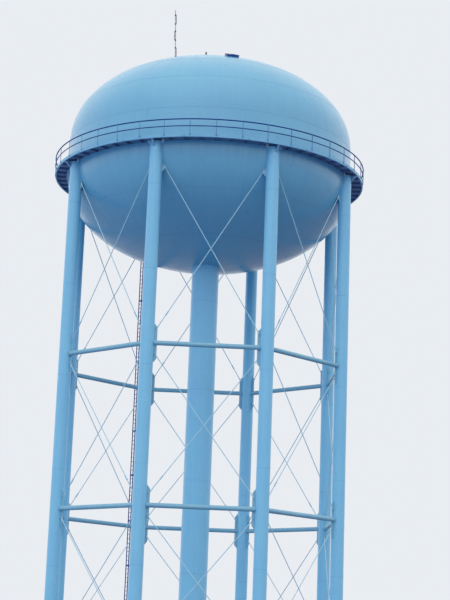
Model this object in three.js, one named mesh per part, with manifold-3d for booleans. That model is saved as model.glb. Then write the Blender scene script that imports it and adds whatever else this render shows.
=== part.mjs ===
// Elevated steel water tank on eight round columns, a scale model at 1:2.
// Millimetres, +Z up. The origin is the centre of the tower on the ground.
// The driving dimensions are the real tower's, in metres: real() turns them into the model's millimetres.
// An azimuth is measured in degrees from -Y, the front, towards +X.

import * as THREE from "three";
import { mergeVertices } from "three/addons/utils/BufferGeometryUtils.js";
import Module from "manifold-3d";

const wasm = await Module();
wasm.setup();

const SCALE = 0.5;
const real = (metres) => metres * 1000 * SCALE;
const radians = THREE.MathUtils.degToRad;

// Gap between separate pieces that bear on each other
const SEAT = 0.4;

// How far joined pieces run into each other, and how far a cut runs past a face
const LAP = 2;
const PAST = 1;

// A plate on a column is drawn from this share of the column's radius, then cut back to its face
const ROOT_SHARE = 0.9;

// Tank
const TANK_RADIUS = real(9.75);
const PLATE = real(0.08);
const EAVE_Z = real(33.0);
const SHELL_HEIGHT = real(2.6);
const ROOF_Z = EAVE_Z + SHELL_HEIGHT;
const ROOF_RISE = real(5.775);
const ROOF_FULLNESS = 2.2;
const ROOF_STEPS = 8;
const BOWL_DEPTH = real(5.9);
const BOWL_STEPS = 7;
const BOWL_INNER_STEPS = 5;
const FACETS = 64;
const FACET_ANGLE = 360 / FACETS;
const SECTOR_START = FACET_ANGLE / 2;

// The roof's crown is one plate inside this step of the arc, and the rest is parted into sectors
const CROWN_STEP = 6;
const ROOF_SECTORS = [
  { name: "roof_hatch_plate", facets: 3 },
  { name: "roof_plate_1", facets: 20 },
  { name: "roof_plate_2", facets: 20 },
  { name: "roof_plate_3", facets: 21 },
];
const BOWL_SECTORS = [
  { name: "bowl_right", facets: 32 },
  { name: "bowl_left", facets: 32 },
];

// Riser and overflow pipe
const RISER_RADIUS = real(0.915);
const RISER_WALL = real(0.06);
const RISER_FACETS = 32;
const OVERFLOW_RADIUS = real(0.13);
const OVERFLOW_STANDOFF = real(0.16);
const OVERFLOW_FACETS = 12;
const OVERFLOW_BRACKETS = {
  count: 6,
  first: real(2),
  spacing: real(4.6),
  half: real(0.04),
  root: real(0.05),
};

// Concrete piers
const PIER_HEIGHT = real(0.3);
const PIER_SIDE = real(1.5);
const RISER_PIER_RADIUS = real(1.5);
const RISER_PIER_FACETS = 16;

// Columns
const SIDES = 8;
const SIDE_ANGLE = 360 / SIDES;
const FIRST_COLUMN = SIDE_ANGLE / 2;
const COLUMN_CIRCLE = real(9.745);
const COLUMN_RADIUS = real(0.425);
const COLUMN_FACETS = 16;
const BASE_PLATE_SIDE = real(1.15);
const BASE_PLATE_THICKNESS = real(0.05);
const KNEE_DROP = real(0.43);
const KNEE_REACH = real(10.58);
const KNEE_BAR = real(0.11);

// Bracing between the columns
const BRACE_TOP_Z = EAVE_Z - real(0.6);
const STRUT_LEVELS = [real(20.0), real(10.0)];
const BRACE_BOTTOM_Z = real(0.9);
const BRACE_INSET = real(0.04);
const ROD_SIZE = real(0.055);
const STRUT_RADIUS = real(0.15);
const STRUT_FACETS = 6;
const GUSSET_REACH = real(0.2);
const GUSSET_TAPER = real(0.3);
const GUSSET_RISE = real(1.3);
const TOP_GUSSET = { from: real(0.68), to: real(1.4) };
const BOTTOM_GUSSET = { from: real(0.15), to: real(1.15) };
const ROD_TRIM = real(0.05);

// Walkway and handrail
const WALKWAY_RADIUS = real(10.64);
const CURB_HEIGHT = real(0.2);
const CURB_THICKNESS = real(0.03);
const FLOOR_THICKNESS = real(0.06);
const JOIST_THICKNESS = real(0.03);
const JOIST_ANGLE = FACET_ANGLE;
const JOIST_GAP = real(0.03);
const RAIL_CIRCLE = real(10.655);
const TOP_RAIL_HEIGHT = real(1.209);
const MIDDLE_RAIL_HEIGHT = real(0.739);
const TOP_RAIL_SIZE = real(0.08);
const MIDDLE_RAIL_SIZE = real(0.065);
const POST_SIZE = real(0.05);
const POST_FOOT = real(0.1);
const POST_ANGLE = 9;
const POSTS_PER_SECTOR = SIDE_ANGLE / POST_ANGLE;
const JOISTS_PER_SECTOR = SIDE_ANGLE / JOIST_ANGLE;

// Ladders
const RUNG_SPACING = real(0.305);
const RUNG_SIZE = real(0.03);
const STILE_THICKNESS = real(0.03);
const STILE_DEPTH = real(0.065);
const LADDER_WIDTH = real(0.45);
const LEG_LADDER_SIDE = 5;
const LEG_LADDER_START_Z = real(2.4);
const LEG_LADDER_END_Z = EAVE_Z + real(1.37);
const LEG_LADDER_TANGENT = real(0.6);
const LEG_LADDER_RADIUS = real(10.2);
const LEG_LADDER_BRACKETS = 9;
const LEG_LADDER_BRACKET_TOP = EAVE_Z - real(1.5);
const LADDER_HOLE = { from: real(0.5), to: real(1.35), inner: real(9.87), outer: real(10.55) };
const ROOF_LADDER_AZIMUTH = 38 * FACET_ANGLE;
const ROOF_LADDER_STANDOFF = real(0.2);
const ROOF_LADDER_BRACKETS = { count: 7, first: 3, last: 78, width: real(0.05), root: real(0.06) };
const ROOF_LADDER_END_ANGLE = 84;
const ROOF_LADDER_STEP = 7;

// Roof hatch, in its own frame: x along the hinge, y uphill, z out of the roof
const HATCH_AZIMUTH = 9.5;
const HATCH_RADIUS = real(6.0);
const HATCH_HALF = real(0.4);
const HATCH_WALL = real(0.024);
const HATCH_HEIGHT = real(0.1);
const HATCH_ROOT = real(0.16);
const HATCH_CUT = real(0.5);
const LID_CLEARANCE = 5;
const LID_THICKNESS = real(0.036);
const LID_OVERHANG = real(0.026);
const PIN_RADIUS = 6;
const PIN_CLEARANCE = 0.6;
const PIN_FACETS = 16;
const PIN_HALF_LENGTH = real(0.3);
const KNUCKLE_RADIUS = 12;
const KNUCKLE_HALF_WIDTH = real(0.04);
const KNUCKLE_PLACE = real(0.22);
const LUG_THICKNESS = real(0.024);
const HINGE_OUT = 14;

// Roof vent, obstruction light and antenna mast
const VENT_NECK_RADIUS = real(0.22);
const VENT_CAP_RADIUS = real(0.4);
const VENT_HEIGHT = real(0.55);
const VENT_NECK_SHARE = 0.7;
const VENT_CAP_PROFILE = [[0, 0.55], [1, 0.5], [1, 0.72], [0.55, 0.94], [0, 1]];
const VENT_ROOT = real(0.05);
const VENT_FACETS = 16;
const LIGHT_PLACE = real(-0.58);
const LIGHT_TOP_Z = EAVE_Z + real(9.85);
const LIGHT_POST_RADIUS = real(0.03);
const LIGHT_BODY_RADIUS = real(0.06);
const LIGHT_BODY_HEIGHT = real(0.24);
const LIGHT_BODY_PROFILE = [[0, 0], [0.8, 0], [1, 0.25], [1, 0.7], [0.6, 0.93], [0, 1]];
const LIGHT_FOOT_RADIUS = real(0.14);
const LIGHT_FOOT = { root: real(0.06), rise: real(0.04) };
const LIGHT_FACETS = 12;
const MAST_PLACE = real(2.7);
const MAST_LEAN = 2.2;
const MAST_LENGTH = real(4.65);
const MAST_RADIUS = real(0.03);
const MAST_FOOT_RADIUS = real(0.16);
const MAST_FOOT = { root: real(0.2), rise: real(0.12) };
const MAST_FOOT_FACETS = 12;
const POLE_FACETS = 8;
const DIPOLE_TOPS = [4.29, 3.08, 1.84].map(real);
const DIPOLE_HEIGHT = real(0.7);
const DIPOLE_REACH = real(0.08);
const DIPOLE_BAR = real(0.03);

// Materials
const paint = (color, roughness) => new THREE.MeshStandardMaterial({ color, roughness, metalness: 0.1 });
const tankPaint = paint(0x6fa6cc, 0.4);
const steelPaint = paint(0x6a9fc6, 0.45);
const railPaint = paint(0x2f5f92, 0.5);
const walkwayPaint = paint(0x6c9cc4, 0.5);
const hatchPaint = paint(0x3f5f96, 0.5);
const mastMetal = new THREE.MeshStandardMaterial({ color: 0x8f8494, roughness: 0.45, metalness: 0.8 });
const lightPaint = paint(0x6a3a4c, 0.4);
const concrete = new THREE.MeshStandardMaterial({ color: 0xa8a59c, roughness: 0.9, metalness: 0 });

// Solids: join and cut closed geometries

function toSolid(geometry) {
  const bare = geometry.clone();
  bare.deleteAttribute("normal");
  bare.deleteAttribute("uv");
  const merged = mergeVertices(bare, 1e-3);
  const vertProperties = merged.attributes.position.array;
  const triVerts = new Uint32Array(merged.index.array);
  return new wasm.Manifold(new wasm.Mesh({ numProp: 3, vertProperties, triVerts }));
}

function toGeometry(solid) {
  const mesh = solid.getMesh();
  const geometry = new THREE.BufferGeometry();
  geometry.setAttribute("position", new THREE.BufferAttribute(mesh.vertProperties, 3));
  geometry.setIndex(new THREE.BufferAttribute(mesh.triVerts, 1));
  geometry.computeVertexNormals();
  return geometry;
}

function joined(geometries) {
  const [first, ...others] = geometries.map(toSolid);
  return toGeometry(others.reduce((sum, solid) => sum.add(solid), first));
}

function cut(geometry, tools) {
  return toGeometry(tools.map(toSolid).reduce((rest, tool) => rest.subtract(tool), toSolid(geometry)));
}

// Shapes in the front frame, where azimuth 0 faces -Y

function box(x0, x1, y0, y1, z0, z1) {
  const geometry = new THREE.BoxGeometry(x1 - x0, y1 - y0, z1 - z0);
  return geometry.translate((x0 + x1) / 2, (y0 + y1) / 2, (z0 + z1) / 2);
}

// A vertical cylinder, with a facet facing the front
function cylinder(radius, z0, z1, facets, x = 0, y = 0) {
  const geometry = new THREE.CylinderGeometry(radius, radius, z1 - z0, facets, 1, false, Math.PI / facets);
  return geometry.rotateX(Math.PI / 2).translate(x, y, (z0 + z1) / 2);
}

// A turned solid: the profile is a list of [radius, z] that ends on the axis or closes on itself
function turned(profile, facets = FACETS) {
  const points = profile.map(([radius, z]) => new THREE.Vector2(radius, z));
  return new THREE.LatheGeometry(points, facets, Math.PI / facets).rotateX(Math.PI / 2);
}

// One part of a full ring: what lies outside two azimuths, less than half a turn apart, is cut away
function sectorOf(geometry, from, to) {
  const reach = 2 * TANK_RADIUS;
  const away = (azimuth, side) => {
    const [x0, x1] = side < 0 ? [-reach, SEAT / 2] : [-SEAT / 2, reach];
    return box(x0, x1, -reach, reach, 0, 2 * ROOF_Z).rotateZ(radians(azimuth));
  };
  return cut(geometry, [away(from, -1), away(to, 1)]);
}

function extruded(points, thickness) {
  const shape = new THREE.Shape(points.map(([x, y]) => new THREE.Vector2(x, y)));
  const geometry = new THREE.ExtrudeGeometry(shape, { depth: thickness, bevelEnabled: false });
  return geometry.translate(0, 0, -thickness / 2);
}

const X_AXIS = new THREE.Vector3(1, 0, 0);
const Y_AXIS = new THREE.Vector3(0, 1, 0);
const Z_AXIS = new THREE.Vector3(0, 0, 1);
const FRONT = Y_AXIS.clone().negate();

// An upright plate in the radial plane of azimuth 0, drawn in [radius, z]
function radialPlate(points, thickness, x = 0) {
  const turn = new THREE.Matrix4().makeBasis(FRONT, Z_AXIS, X_AXIS.clone().negate());
  return extruded(points, thickness).applyMatrix4(turn).translate(x, 0, 0);
}

// An upright plate that faces the front, drawn in [x, z]
function facingPlate(points, thickness, y) {
  const turn = new THREE.Matrix4().makeBasis(X_AXIS, Z_AXIS, FRONT);
  return extruded(points, thickness).applyMatrix4(turn).translate(0, y, 0);
}

// A bar between two points
function bar(from, to, radius, facets) {
  const along = new THREE.Vector3().subVectors(to, from);
  const length = along.length();
  const geometry = new THREE.CylinderGeometry(radius, radius, length, facets, 1, false, Math.PI / facets);
  const turn = new THREE.Quaternion().setFromUnitVectors(Y_AXIS, along.clone().normalize());
  const middle = from.clone().add(to).multiplyScalar(0.5);
  return geometry.applyQuaternion(turn).translate(middle.x, middle.y, middle.z);
}

// A flat piece of the walkway's first sector, on the tank's own facets, with a gap at each end
function sectorPlate(inner, outer, z0, z1) {
  const inset = THREE.MathUtils.radToDeg(SEAT / 2 / inner);
  const azimuths = [];
  for (let step = 0; step <= JOISTS_PER_SECTOR; step += 1) {
    azimuths.push(SECTOR_START + step * FACET_ANGLE);
  }
  azimuths[0] += inset;
  azimuths[JOISTS_PER_SECTOR] -= inset;
  const at = (radius, azimuth) => {
    const angle = radians(azimuth);
    return [radius * Math.sin(angle), -radius * Math.cos(angle)];
  };
  const outline = [
    ...azimuths.map((azimuth) => at(outer, azimuth)),
    ...azimuths.reverse().map((azimuth) => at(inner, azimuth)),
  ];
  return extruded(outline, z1 - z0).translate(0, 0, (z0 + z1) / 2);
}

// Tank profiles

// A point of the roof's outer surface, at an angle from the rim (0) to the crown (90), moved out by offset
function roofPoint(degrees, offset = 0) {
  const angle = radians(degrees);
  const radius = TANK_RADIUS * Math.cos(angle) ** (2 / ROOF_FULLNESS);
  const rise = ROOF_RISE * Math.sin(angle);
  const outward = (ROOF_FULLNESS * (radius / TANK_RADIUS) ** (ROOF_FULLNESS - 1)) / TANK_RADIUS;
  const upward = (2 * rise) / ROOF_RISE ** 2;
  const length = Math.hypot(outward, upward);
  return [radius + (offset * outward) / length, ROOF_Z + rise + (offset * upward) / length];
}

// The height and slope of the roof's outer surface at a radius
function roofAt(radius) {
  const ratio = (radius / TANK_RADIUS) ** ROOF_FULLNESS;
  const rise = ROOF_RISE * Math.sqrt(1 - ratio);
  const fall = (ROOF_FULLNESS * ratio * ROOF_RISE ** 2) / (2 * radius * rise);
  return { z: ROOF_Z + rise, slope: Math.atan(fall) };
}

function roofArc(radius, rise, z, first = 0, last = ROOF_STEPS) {
  const points = [];
  for (let step = first; step <= last; step += 1) {
    const angle = ((step / ROOF_STEPS) * Math.PI) / 2;
    const out = step === ROOF_STEPS ? 0 : radius * Math.cos(angle) ** (2 / ROOF_FULLNESS);
    points.push([out, z + rise * Math.sin(angle)]);
  }
  return points;
}

const riserHole = RISER_RADIUS - RISER_WALL;

// From the rim down to the edge of the riser's hole
function bowlArc(radius, depth, z, steps) {
  const endAngle = Math.acos(riserHole / radius);
  const points = [];
  for (let step = 0; step < steps; step += 1) {
    const angle = (step / steps) * endAngle;
    points.push([radius * Math.cos(angle), z - depth * Math.sin(angle)]);
  }
  points.push([riserHole, z - depth * Math.sin(endAngle)]);
  return points;
}

// The whole tank as one plain solid, grown by SEAT: what touches the tank is cut by it
function tankEnvelope() {
  const bowl = bowlArc(TANK_RADIUS + SEAT, BOWL_DEPTH + SEAT, EAVE_Z, BOWL_STEPS);
  const roof = roofArc(TANK_RADIUS + SEAT, ROOF_RISE + SEAT, ROOF_Z + SEAT);
  return turned([[0, bowl[BOWL_STEPS][1]], ...bowl.reverse(), ...roof]);
}

const envelope = tankEnvelope();

// The tank

function roofRingGeometry() {
  const outer = roofArc(TANK_RADIUS, ROOF_RISE, ROOF_Z + SEAT, 0, CROWN_STEP);
  const inner = roofArc(TANK_RADIUS - PLATE, ROOF_RISE - PLATE, ROOF_Z + SEAT, 0, CROWN_STEP).reverse();
  return turned([...inner, ...outer, inner[0]]);
}

function roofCrownGeometry() {
  const outer = roofArc(TANK_RADIUS, ROOF_RISE, ROOF_Z + SEAT, CROWN_STEP);
  const inner = roofArc(TANK_RADIUS - PLATE, ROOF_RISE - PLATE, ROOF_Z + SEAT, CROWN_STEP);
  outer[0][0] -= SEAT;
  inner[0][0] -= SEAT;
  return turned([...inner.reverse(), ...outer]);
}

function shellGeometry() {
  const inner = TANK_RADIUS - PLATE;
  return turned([
    [inner, EAVE_Z],
    [TANK_RADIUS, EAVE_Z],
    [TANK_RADIUS, ROOF_Z],
    [inner, ROOF_Z],
    [inner, EAVE_Z],
  ]);
}

function bowlGeometry() {
  const rim = EAVE_Z - SEAT;
  const outer = bowlArc(TANK_RADIUS, BOWL_DEPTH, rim, BOWL_STEPS).reverse();
  const inner = bowlArc(TANK_RADIUS - PLATE, BOWL_DEPTH - PLATE, rim, BOWL_INNER_STEPS);
  return turned([...outer, ...inner, outer[0]]);
}

// The height of the bowl's underside at a radius near its middle, on its last facet
function bowlBottomAt(radius) {
  const arc = bowlArc(TANK_RADIUS, BOWL_DEPTH, EAVE_Z - SEAT, BOWL_STEPS);
  const [outerEnd, innerEnd] = arc.slice(-2);
  const share = (radius - innerEnd[0]) / (outerEnd[0] - innerEnd[0]);
  return innerEnd[1] + share * (outerEnd[1] - innerEnd[1]);
}

function riserGeometry() {
  const foot = PIER_HEIGHT + SEAT;
  return turned(
    [
      [riserHole, foot],
      [RISER_RADIUS, foot],
      [RISER_RADIUS, bowlBottomAt(RISER_RADIUS) - SEAT],
      [riserHole, bowlBottomAt(riserHole) - SEAT],
      [riserHole, foot],
    ],
    RISER_FACETS,
  );
}

function overflowGeometry() {
  const y = RISER_RADIUS + OVERFLOW_STANDOFF + OVERFLOW_RADIUS;
  const top = EAVE_Z - BOWL_DEPTH / 2;
  const pipe = cylinder(OVERFLOW_RADIUS, PIER_HEIGHT + SEAT, top, OVERFLOW_FACETS, 0, y);
  const { count, first, spacing, half, root } = OVERFLOW_BRACKETS;
  const brackets = [];
  for (let index = 0; index < count; index += 1) {
    const z = first + index * spacing;
    brackets.push(box(-half, half, RISER_RADIUS - root, y, z - half, z + half));
  }
  const riser = cylinder(RISER_RADIUS + SEAT, 0, EAVE_Z, RISER_FACETS);
  return cut(joined([pipe, ...brackets]), [riser, envelope]);
}

// A column, with its base plate and the knee brace that holds up the walkway's edge

const columnFace = COLUMN_RADIUS * Math.cos(Math.PI / COLUMN_FACETS);

function columnShaft(radius, z0, z1) {
  return cylinder(radius, z0, z1, COLUMN_FACETS, 0, -COLUMN_CIRCLE);
}

function columnGeometry() {
  const foot = PIER_HEIGHT + SEAT;
  const half = BASE_PLATE_SIDE / 2;
  const shaft = columnShaft(COLUMN_RADIUS, foot, EAVE_Z);
  const plate = box(-half, half, -half, half, foot, foot + BASE_PLATE_THICKNESS);
  plate.translate(0, -COLUMN_CIRCLE, 0);
  const root = COLUMN_CIRCLE + columnFace * ROOT_SHARE;
  const knee = radialPlate(
    [
      [root, EAVE_Z - KNEE_DROP + KNEE_BAR],
      [root, EAVE_Z - KNEE_DROP],
      [KNEE_REACH, EAVE_Z],
      [KNEE_REACH - KNEE_BAR, EAVE_Z],
    ],
    KNEE_BAR,
  );
  return cut(joined([shaft, plate, knee]), [envelope]);
}

function pierGeometry() {
  const half = PIER_SIDE / 2;
  return box(-half, half, -COLUMN_CIRCLE - half, -COLUMN_CIRCLE + half, 0, PIER_HEIGHT);
}

// One side of the bracing: three crossed pairs of tie rods, two struts and their gusset plates

const halfBay = COLUMN_CIRCLE * Math.sin(radians(FIRST_COLUMN));
const strutPlane = -COLUMN_CIRCLE * Math.cos(radians(FIRST_COLUMN));
const rodPlane = strutPlane + BRACE_INSET;

// A pair of gusset plates on the two columns, from a height z0 to a height z1
function gussets(z0, z1) {
  const root = halfBay - columnFace * ROOT_SHARE;
  const edge = halfBay - columnFace - GUSSET_REACH;
  const right = [
    [root, z0],
    [root, z1],
    [edge, z1 - GUSSET_TAPER],
    [edge, z0 + GUSSET_TAPER],
  ];
  const left = right.map(([x, z]) => [-x, z]);
  return [right, left].map((points) => facingPlate(points, ROD_SIZE, rodPlane));
}

// A tie rod between two levels of the bay, from the gusset on one column to the gusset on the other
function tieRod(side, topZ, bottomZ) {
  const share = (columnFace + ROD_TRIM) / (2 * halfBay);
  const inset = side * (halfBay - columnFace - ROD_TRIM);
  const drop = share * (topZ - bottomZ);
  const from = [inset, topZ - drop];
  const to = [-inset, bottomZ + drop];
  const along = new THREE.Vector2(to[0] - from[0], to[1] - from[1]).setLength(ROD_SIZE / 2);
  const outline = [
    [from[0] - along.y, from[1] + along.x],
    [from[0] + along.y, from[1] - along.x],
    [to[0] + along.y, to[1] - along.x],
    [to[0] - along.y, to[1] + along.x],
  ];
  return facingPlate(outline, ROD_SIZE, rodPlane);
}

function bracingGeometry() {
  const levels = [BRACE_TOP_Z, ...STRUT_LEVELS, BRACE_BOTTOM_Z];
  const pieces = [];
  for (let tier = 0; tier < levels.length - 1; tier += 1) {
    for (const side of [-1, 1]) {
      pieces.push(tieRod(side, levels[tier], levels[tier + 1]));
    }
  }
  for (const level of STRUT_LEVELS) {
    const from = new THREE.Vector3(-halfBay, strutPlane, level);
    const to = new THREE.Vector3(halfBay, strutPlane, level);
    pieces.push(bar(from, to, STRUT_RADIUS, STRUT_FACETS));
    pieces.push(...gussets(level - GUSSET_RISE, level + GUSSET_RISE));
  }
  pieces.push(...gussets(BRACE_TOP_Z - TOP_GUSSET.to, BRACE_TOP_Z - TOP_GUSSET.from));
  pieces.push(...gussets(BRACE_BOTTOM_Z + BOTTOM_GUSSET.from, BRACE_BOTTOM_Z + BOTTOM_GUSSET.to));
  const columns = [-FIRST_COLUMN, FIRST_COLUMN].map((azimuth) =>
    columnShaft(COLUMN_RADIUS + SEAT, 0, EAVE_Z).rotateZ(radians(azimuth)),
  );
  return cut(joined(pieces), columns);
}

// A sector of the walkway, with the joists under its floor

const floorTop = EAVE_Z + CURB_HEIGHT;

function joist(azimuth, x = 0) {
  const half = JOIST_THICKNESS / 2;
  const inner = -TANK_RADIUS - JOIST_GAP;
  const outer = -WALKWAY_RADIUS + CURB_THICKNESS;
  const plate = box(x - half, x + half, outer - LAP, inner, EAVE_Z + SEAT, floorTop - FLOOR_THICKNESS / 2);
  return plate.rotateZ(radians(azimuth));
}

function walkwayGeometry(ladderAzimuth) {
  const pieces = [
    sectorPlate(TANK_RADIUS + SEAT, WALKWAY_RADIUS, floorTop - FLOOR_THICKNESS, floorTop),
    sectorPlate(WALKWAY_RADIUS - CURB_THICKNESS, WALKWAY_RADIUS, EAVE_Z + SEAT, floorTop),
  ];
  for (let index = 1; index <= JOISTS_PER_SECTOR; index += 1) {
    pieces.push(joist(index * JOIST_ANGLE));
  }
  if (ladderAzimuth === undefined) return joined(pieces);
  const { from, to, inner, outer } = LADDER_HOLE;
  pieces.push(joist(ladderAzimuth, from - JOIST_THICKNESS));
  pieces.push(joist(ladderAzimuth, to + JOIST_THICKNESS));
  const hole = box(from, to, -outer, -inner, EAVE_Z - PAST, floorTop + PAST).rotateZ(radians(ladderAzimuth));
  return cut(joined(pieces), [hole]);
}

// A sector of the handrail: its posts stand on the outside of the walkway's curb

function railingGeometry() {
  const rail = (height, size) => {
    const top = EAVE_Z + height;
    return sectorPlate(RAIL_CIRCLE - size / 2, RAIL_CIRCLE + size / 2, top - size, top);
  };
  const pieces = [rail(TOP_RAIL_HEIGHT, TOP_RAIL_SIZE), rail(MIDDLE_RAIL_HEIGHT, MIDDLE_RAIL_SIZE)];
  const half = POST_SIZE / 2;
  const top = EAVE_Z + TOP_RAIL_HEIGHT - TOP_RAIL_SIZE / 2;
  for (let index = 1; index <= POSTS_PER_SECTOR; index += 1) {
    const post = box(-half, half, -RAIL_CIRCLE - half, -RAIL_CIRCLE + half, EAVE_Z + POST_FOOT, top);
    pieces.push(post.rotateZ(radians(index * POST_ANGLE)));
  }
  const curb = sectorPlate(TANK_RADIUS, WALKWAY_RADIUS + SEAT, EAVE_Z, floorTop + SEAT);
  return cut(joined(pieces), [curb]);
}

// The ladder up a column, on its side, with the rungs along the radius

function legLadderGeometry() {
  const x = LEG_LADDER_TANGENT;
  const inner = -LEG_LADDER_RADIUS + LADDER_WIDTH / 2;
  const outer = -LEG_LADDER_RADIUS - LADDER_WIDTH / 2;
  const pieces = [inner, outer].map((y) =>
    box(
      x - STILE_DEPTH / 2,
      x + STILE_DEPTH / 2,
      y - STILE_THICKNESS / 2,
      y + STILE_THICKNESS / 2,
      LEG_LADDER_START_Z,
      LEG_LADDER_END_Z,
    ),
  );
  const half = RUNG_SIZE / 2;
  for (let z = LEG_LADDER_START_Z + RUNG_SPACING / 2; z < LEG_LADDER_END_Z - half; z += RUNG_SPACING) {
    pieces.push(box(x - half, x + half, outer, inner, z - half, z + half));
  }
  const spacing = (LEG_LADDER_BRACKET_TOP - LEG_LADDER_START_Z) / LEG_LADDER_BRACKETS;
  for (let index = 0; index < LEG_LADDER_BRACKETS; index += 1) {
    const z = LEG_LADDER_START_Z + (index + 0.5) * spacing;
    pieces.push(box(COLUMN_RADIUS / 2, x, inner - half, inner + half, z - STILE_DEPTH, z + STILE_DEPTH));
  }
  return cut(joined(pieces), [columnShaft(COLUMN_RADIUS + SEAT, 0, EAVE_Z)]);
}

// The ladder from the walkway up the shell and over the roof

function roofLadderGeometry() {
  const start = [TANK_RADIUS, floorTop + SEAT];
  const path = (offset) => {
    const points = [[start[0] + offset, start[1]]];
    for (let angle = 0; angle <= ROOF_LADDER_END_ANGLE; angle += ROOF_LADDER_STEP) {
      points.push(roofPoint(angle, offset));
    }
    return points;
  };
  const near = path(ROOF_LADDER_STANDOFF - STILE_DEPTH / 2);
  const far = path(ROOF_LADDER_STANDOFF + STILE_DEPTH / 2);
  const band = [...far, ...near.reverse()];
  const middle = path(ROOF_LADDER_STANDOFF).map(([radius, z]) => new THREE.Vector3(0, -radius, z));
  const pieces = [-1, 1].map((side) => radialPlate(band, STILE_THICKNESS, (side * LADDER_WIDTH) / 2));
  const route = new THREE.CurvePath();
  for (let index = 1; index < middle.length; index += 1) {
    route.add(new THREE.LineCurve3(middle[index - 1], middle[index]));
  }
  const length = route.getLength();
  const rungCount = Math.floor(length / RUNG_SPACING);
  for (let index = 0; index < rungCount; index += 1) {
    const { y, z } = route.getPointAt(((index + 0.5) * RUNG_SPACING) / length);
    const half = RUNG_SIZE / 2;
    pieces.push(box(-LADDER_WIDTH / 2, LADDER_WIDTH / 2, y - half, y + half, z - half, z + half));
  }
  const { count, first, last, width, root } = ROOF_LADDER_BRACKETS;
  for (let index = 0; index < count; index += 1) {
    const angle = first + (index * (last - first)) / (count - 1);
    const tip = roofPoint(angle, ROOF_LADDER_STANDOFF);
    const foot = roofPoint(angle, -root);
    const strap = [tip, foot, [foot[0] - width, foot[1] + width], [tip[0] - width, tip[1] + width]];
    for (const side of [-1, 1]) {
      pieces.push(radialPlate(strap, STILE_THICKNESS, (side * LADDER_WIDTH) / 2));
    }
  }
  return cut(joined(pieces), [envelope]);
}

// Roof hatch: the frames below turn its own x, y, z to the slope of the roof

const hatchSeat = roofAt(HATCH_RADIUS);
const hatchTurn = new THREE.Group();
hatchTurn.rotation.z = radians(HATCH_AZIMUTH);
const hatchFrame = new THREE.Group();
hatchFrame.position.set(0, -HATCH_RADIUS, hatchSeat.z);
hatchFrame.rotation.x = hatchSeat.slope;
hatchTurn.add(hatchFrame);
hatchTurn.updateMatrixWorld(true);

const hinge = { y: HATCH_HALF + HINGE_OUT, z: HATCH_HEIGHT + LID_CLEARANCE + LID_THICKNESS / 2 };

// A bar along the hinge line
function hingeBar(x0, x1, radius) {
  const from = new THREE.Vector3(x0, hinge.y, hinge.z);
  const to = new THREE.Vector3(x1, hinge.y, hinge.z);
  return bar(from, to, radius, PIN_FACETS);
}

function hatchHole() {
  const half = HATCH_HALF - HATCH_WALL;
  return box(-half, half, -half, half, -HATCH_CUT, HATCH_CUT);
}

function hatchFrameGeometry() {
  const curb = box(-HATCH_HALF, HATCH_HALF, -HATCH_HALF, HATCH_HALF, -HATCH_ROOT, HATCH_HEIGHT);
  const pieces = [curb, hingeBar(-PIN_HALF_LENGTH, PIN_HALF_LENGTH, PIN_RADIUS)];
  const back = hinge.y + KNUCKLE_RADIUS;
  for (const side of [-1, 1]) {
    const x0 = side * PIN_HALF_LENGTH - LUG_THICKNESS / 2;
    const x1 = side * PIN_HALF_LENGTH + LUG_THICKNESS / 2;
    pieces.push(hingeBar(x0, x1, KNUCKLE_RADIUS));
    pieces.push(box(x0, x1, HATCH_HALF - LAP, back, 0, HATCH_HEIGHT));
    pieces.push(box(x0, x1, hinge.y - KNUCKLE_RADIUS, back, HATCH_HEIGHT - LAP, hinge.z));
  }
  const roof = envelope.clone().applyMatrix4(hatchFrame.matrixWorld.clone().invert());
  return cut(joined(pieces), [hatchHole(), roof]);
}

function hatchLidGeometry() {
  const out = HATCH_HALF + LID_OVERHANG;
  const back = hinge.y - KNUCKLE_RADIUS - LID_CLEARANCE;
  const bottom = HATCH_HEIGHT + LID_CLEARANCE;
  const pieces = [box(-out, out, -out, back, bottom, bottom + LID_THICKNESS)];
  const bores = [];
  for (const side of [-1, 1]) {
    const x0 = side * KNUCKLE_PLACE - KNUCKLE_HALF_WIDTH;
    const x1 = side * KNUCKLE_PLACE + KNUCKLE_HALF_WIDTH;
    pieces.push(hingeBar(x0, x1, KNUCKLE_RADIUS));
    pieces.push(box(x0, x1, back - LAP, hinge.y, bottom, bottom + LID_THICKNESS));
    const boreRadius = (PIN_RADIUS + PIN_CLEARANCE) / Math.cos(Math.PI / PIN_FACETS);
    bores.push(hingeBar(x0 - PAST, x1 + PAST, boreRadius));
  }
  return cut(joined(pieces), bores);
}

// Fittings on the crown of the roof

function ventGeometry() {
  const crown = ROOF_Z + ROOF_RISE;
  const neckTop = crown + VENT_HEIGHT * VENT_NECK_SHARE;
  const neck = cylinder(VENT_NECK_RADIUS, crown - VENT_ROOT, neckTop, VENT_FACETS);
  const profile = VENT_CAP_PROFILE.map(([out, up]) => [out * VENT_CAP_RADIUS, crown + up * VENT_HEIGHT]);
  return cut(joined([neck, turned(profile, VENT_FACETS)]), [envelope]);
}

function lightGeometry() {
  const seat = roofAt(Math.abs(LIGHT_PLACE)).z;
  const body = LIGHT_TOP_Z - LIGHT_BODY_HEIGHT;
  const root = seat - LIGHT_FOOT.root;
  const foot = cylinder(LIGHT_FOOT_RADIUS, root, seat + LIGHT_FOOT.rise, LIGHT_FACETS, LIGHT_PLACE, 0);
  const post = cylinder(LIGHT_POST_RADIUS, root, body + LIGHT_BODY_RADIUS / 2, POLE_FACETS, LIGHT_PLACE, 0);
  const profile = LIGHT_BODY_PROFILE.map(([out, up]) => [
    out * LIGHT_BODY_RADIUS,
    body + up * LIGHT_BODY_HEIGHT,
  ]);
  const lamp = turned(profile, LIGHT_FACETS).translate(LIGHT_PLACE, 0, 0);
  return cut(joined([foot, post, lamp]), [envelope]);
}

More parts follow.
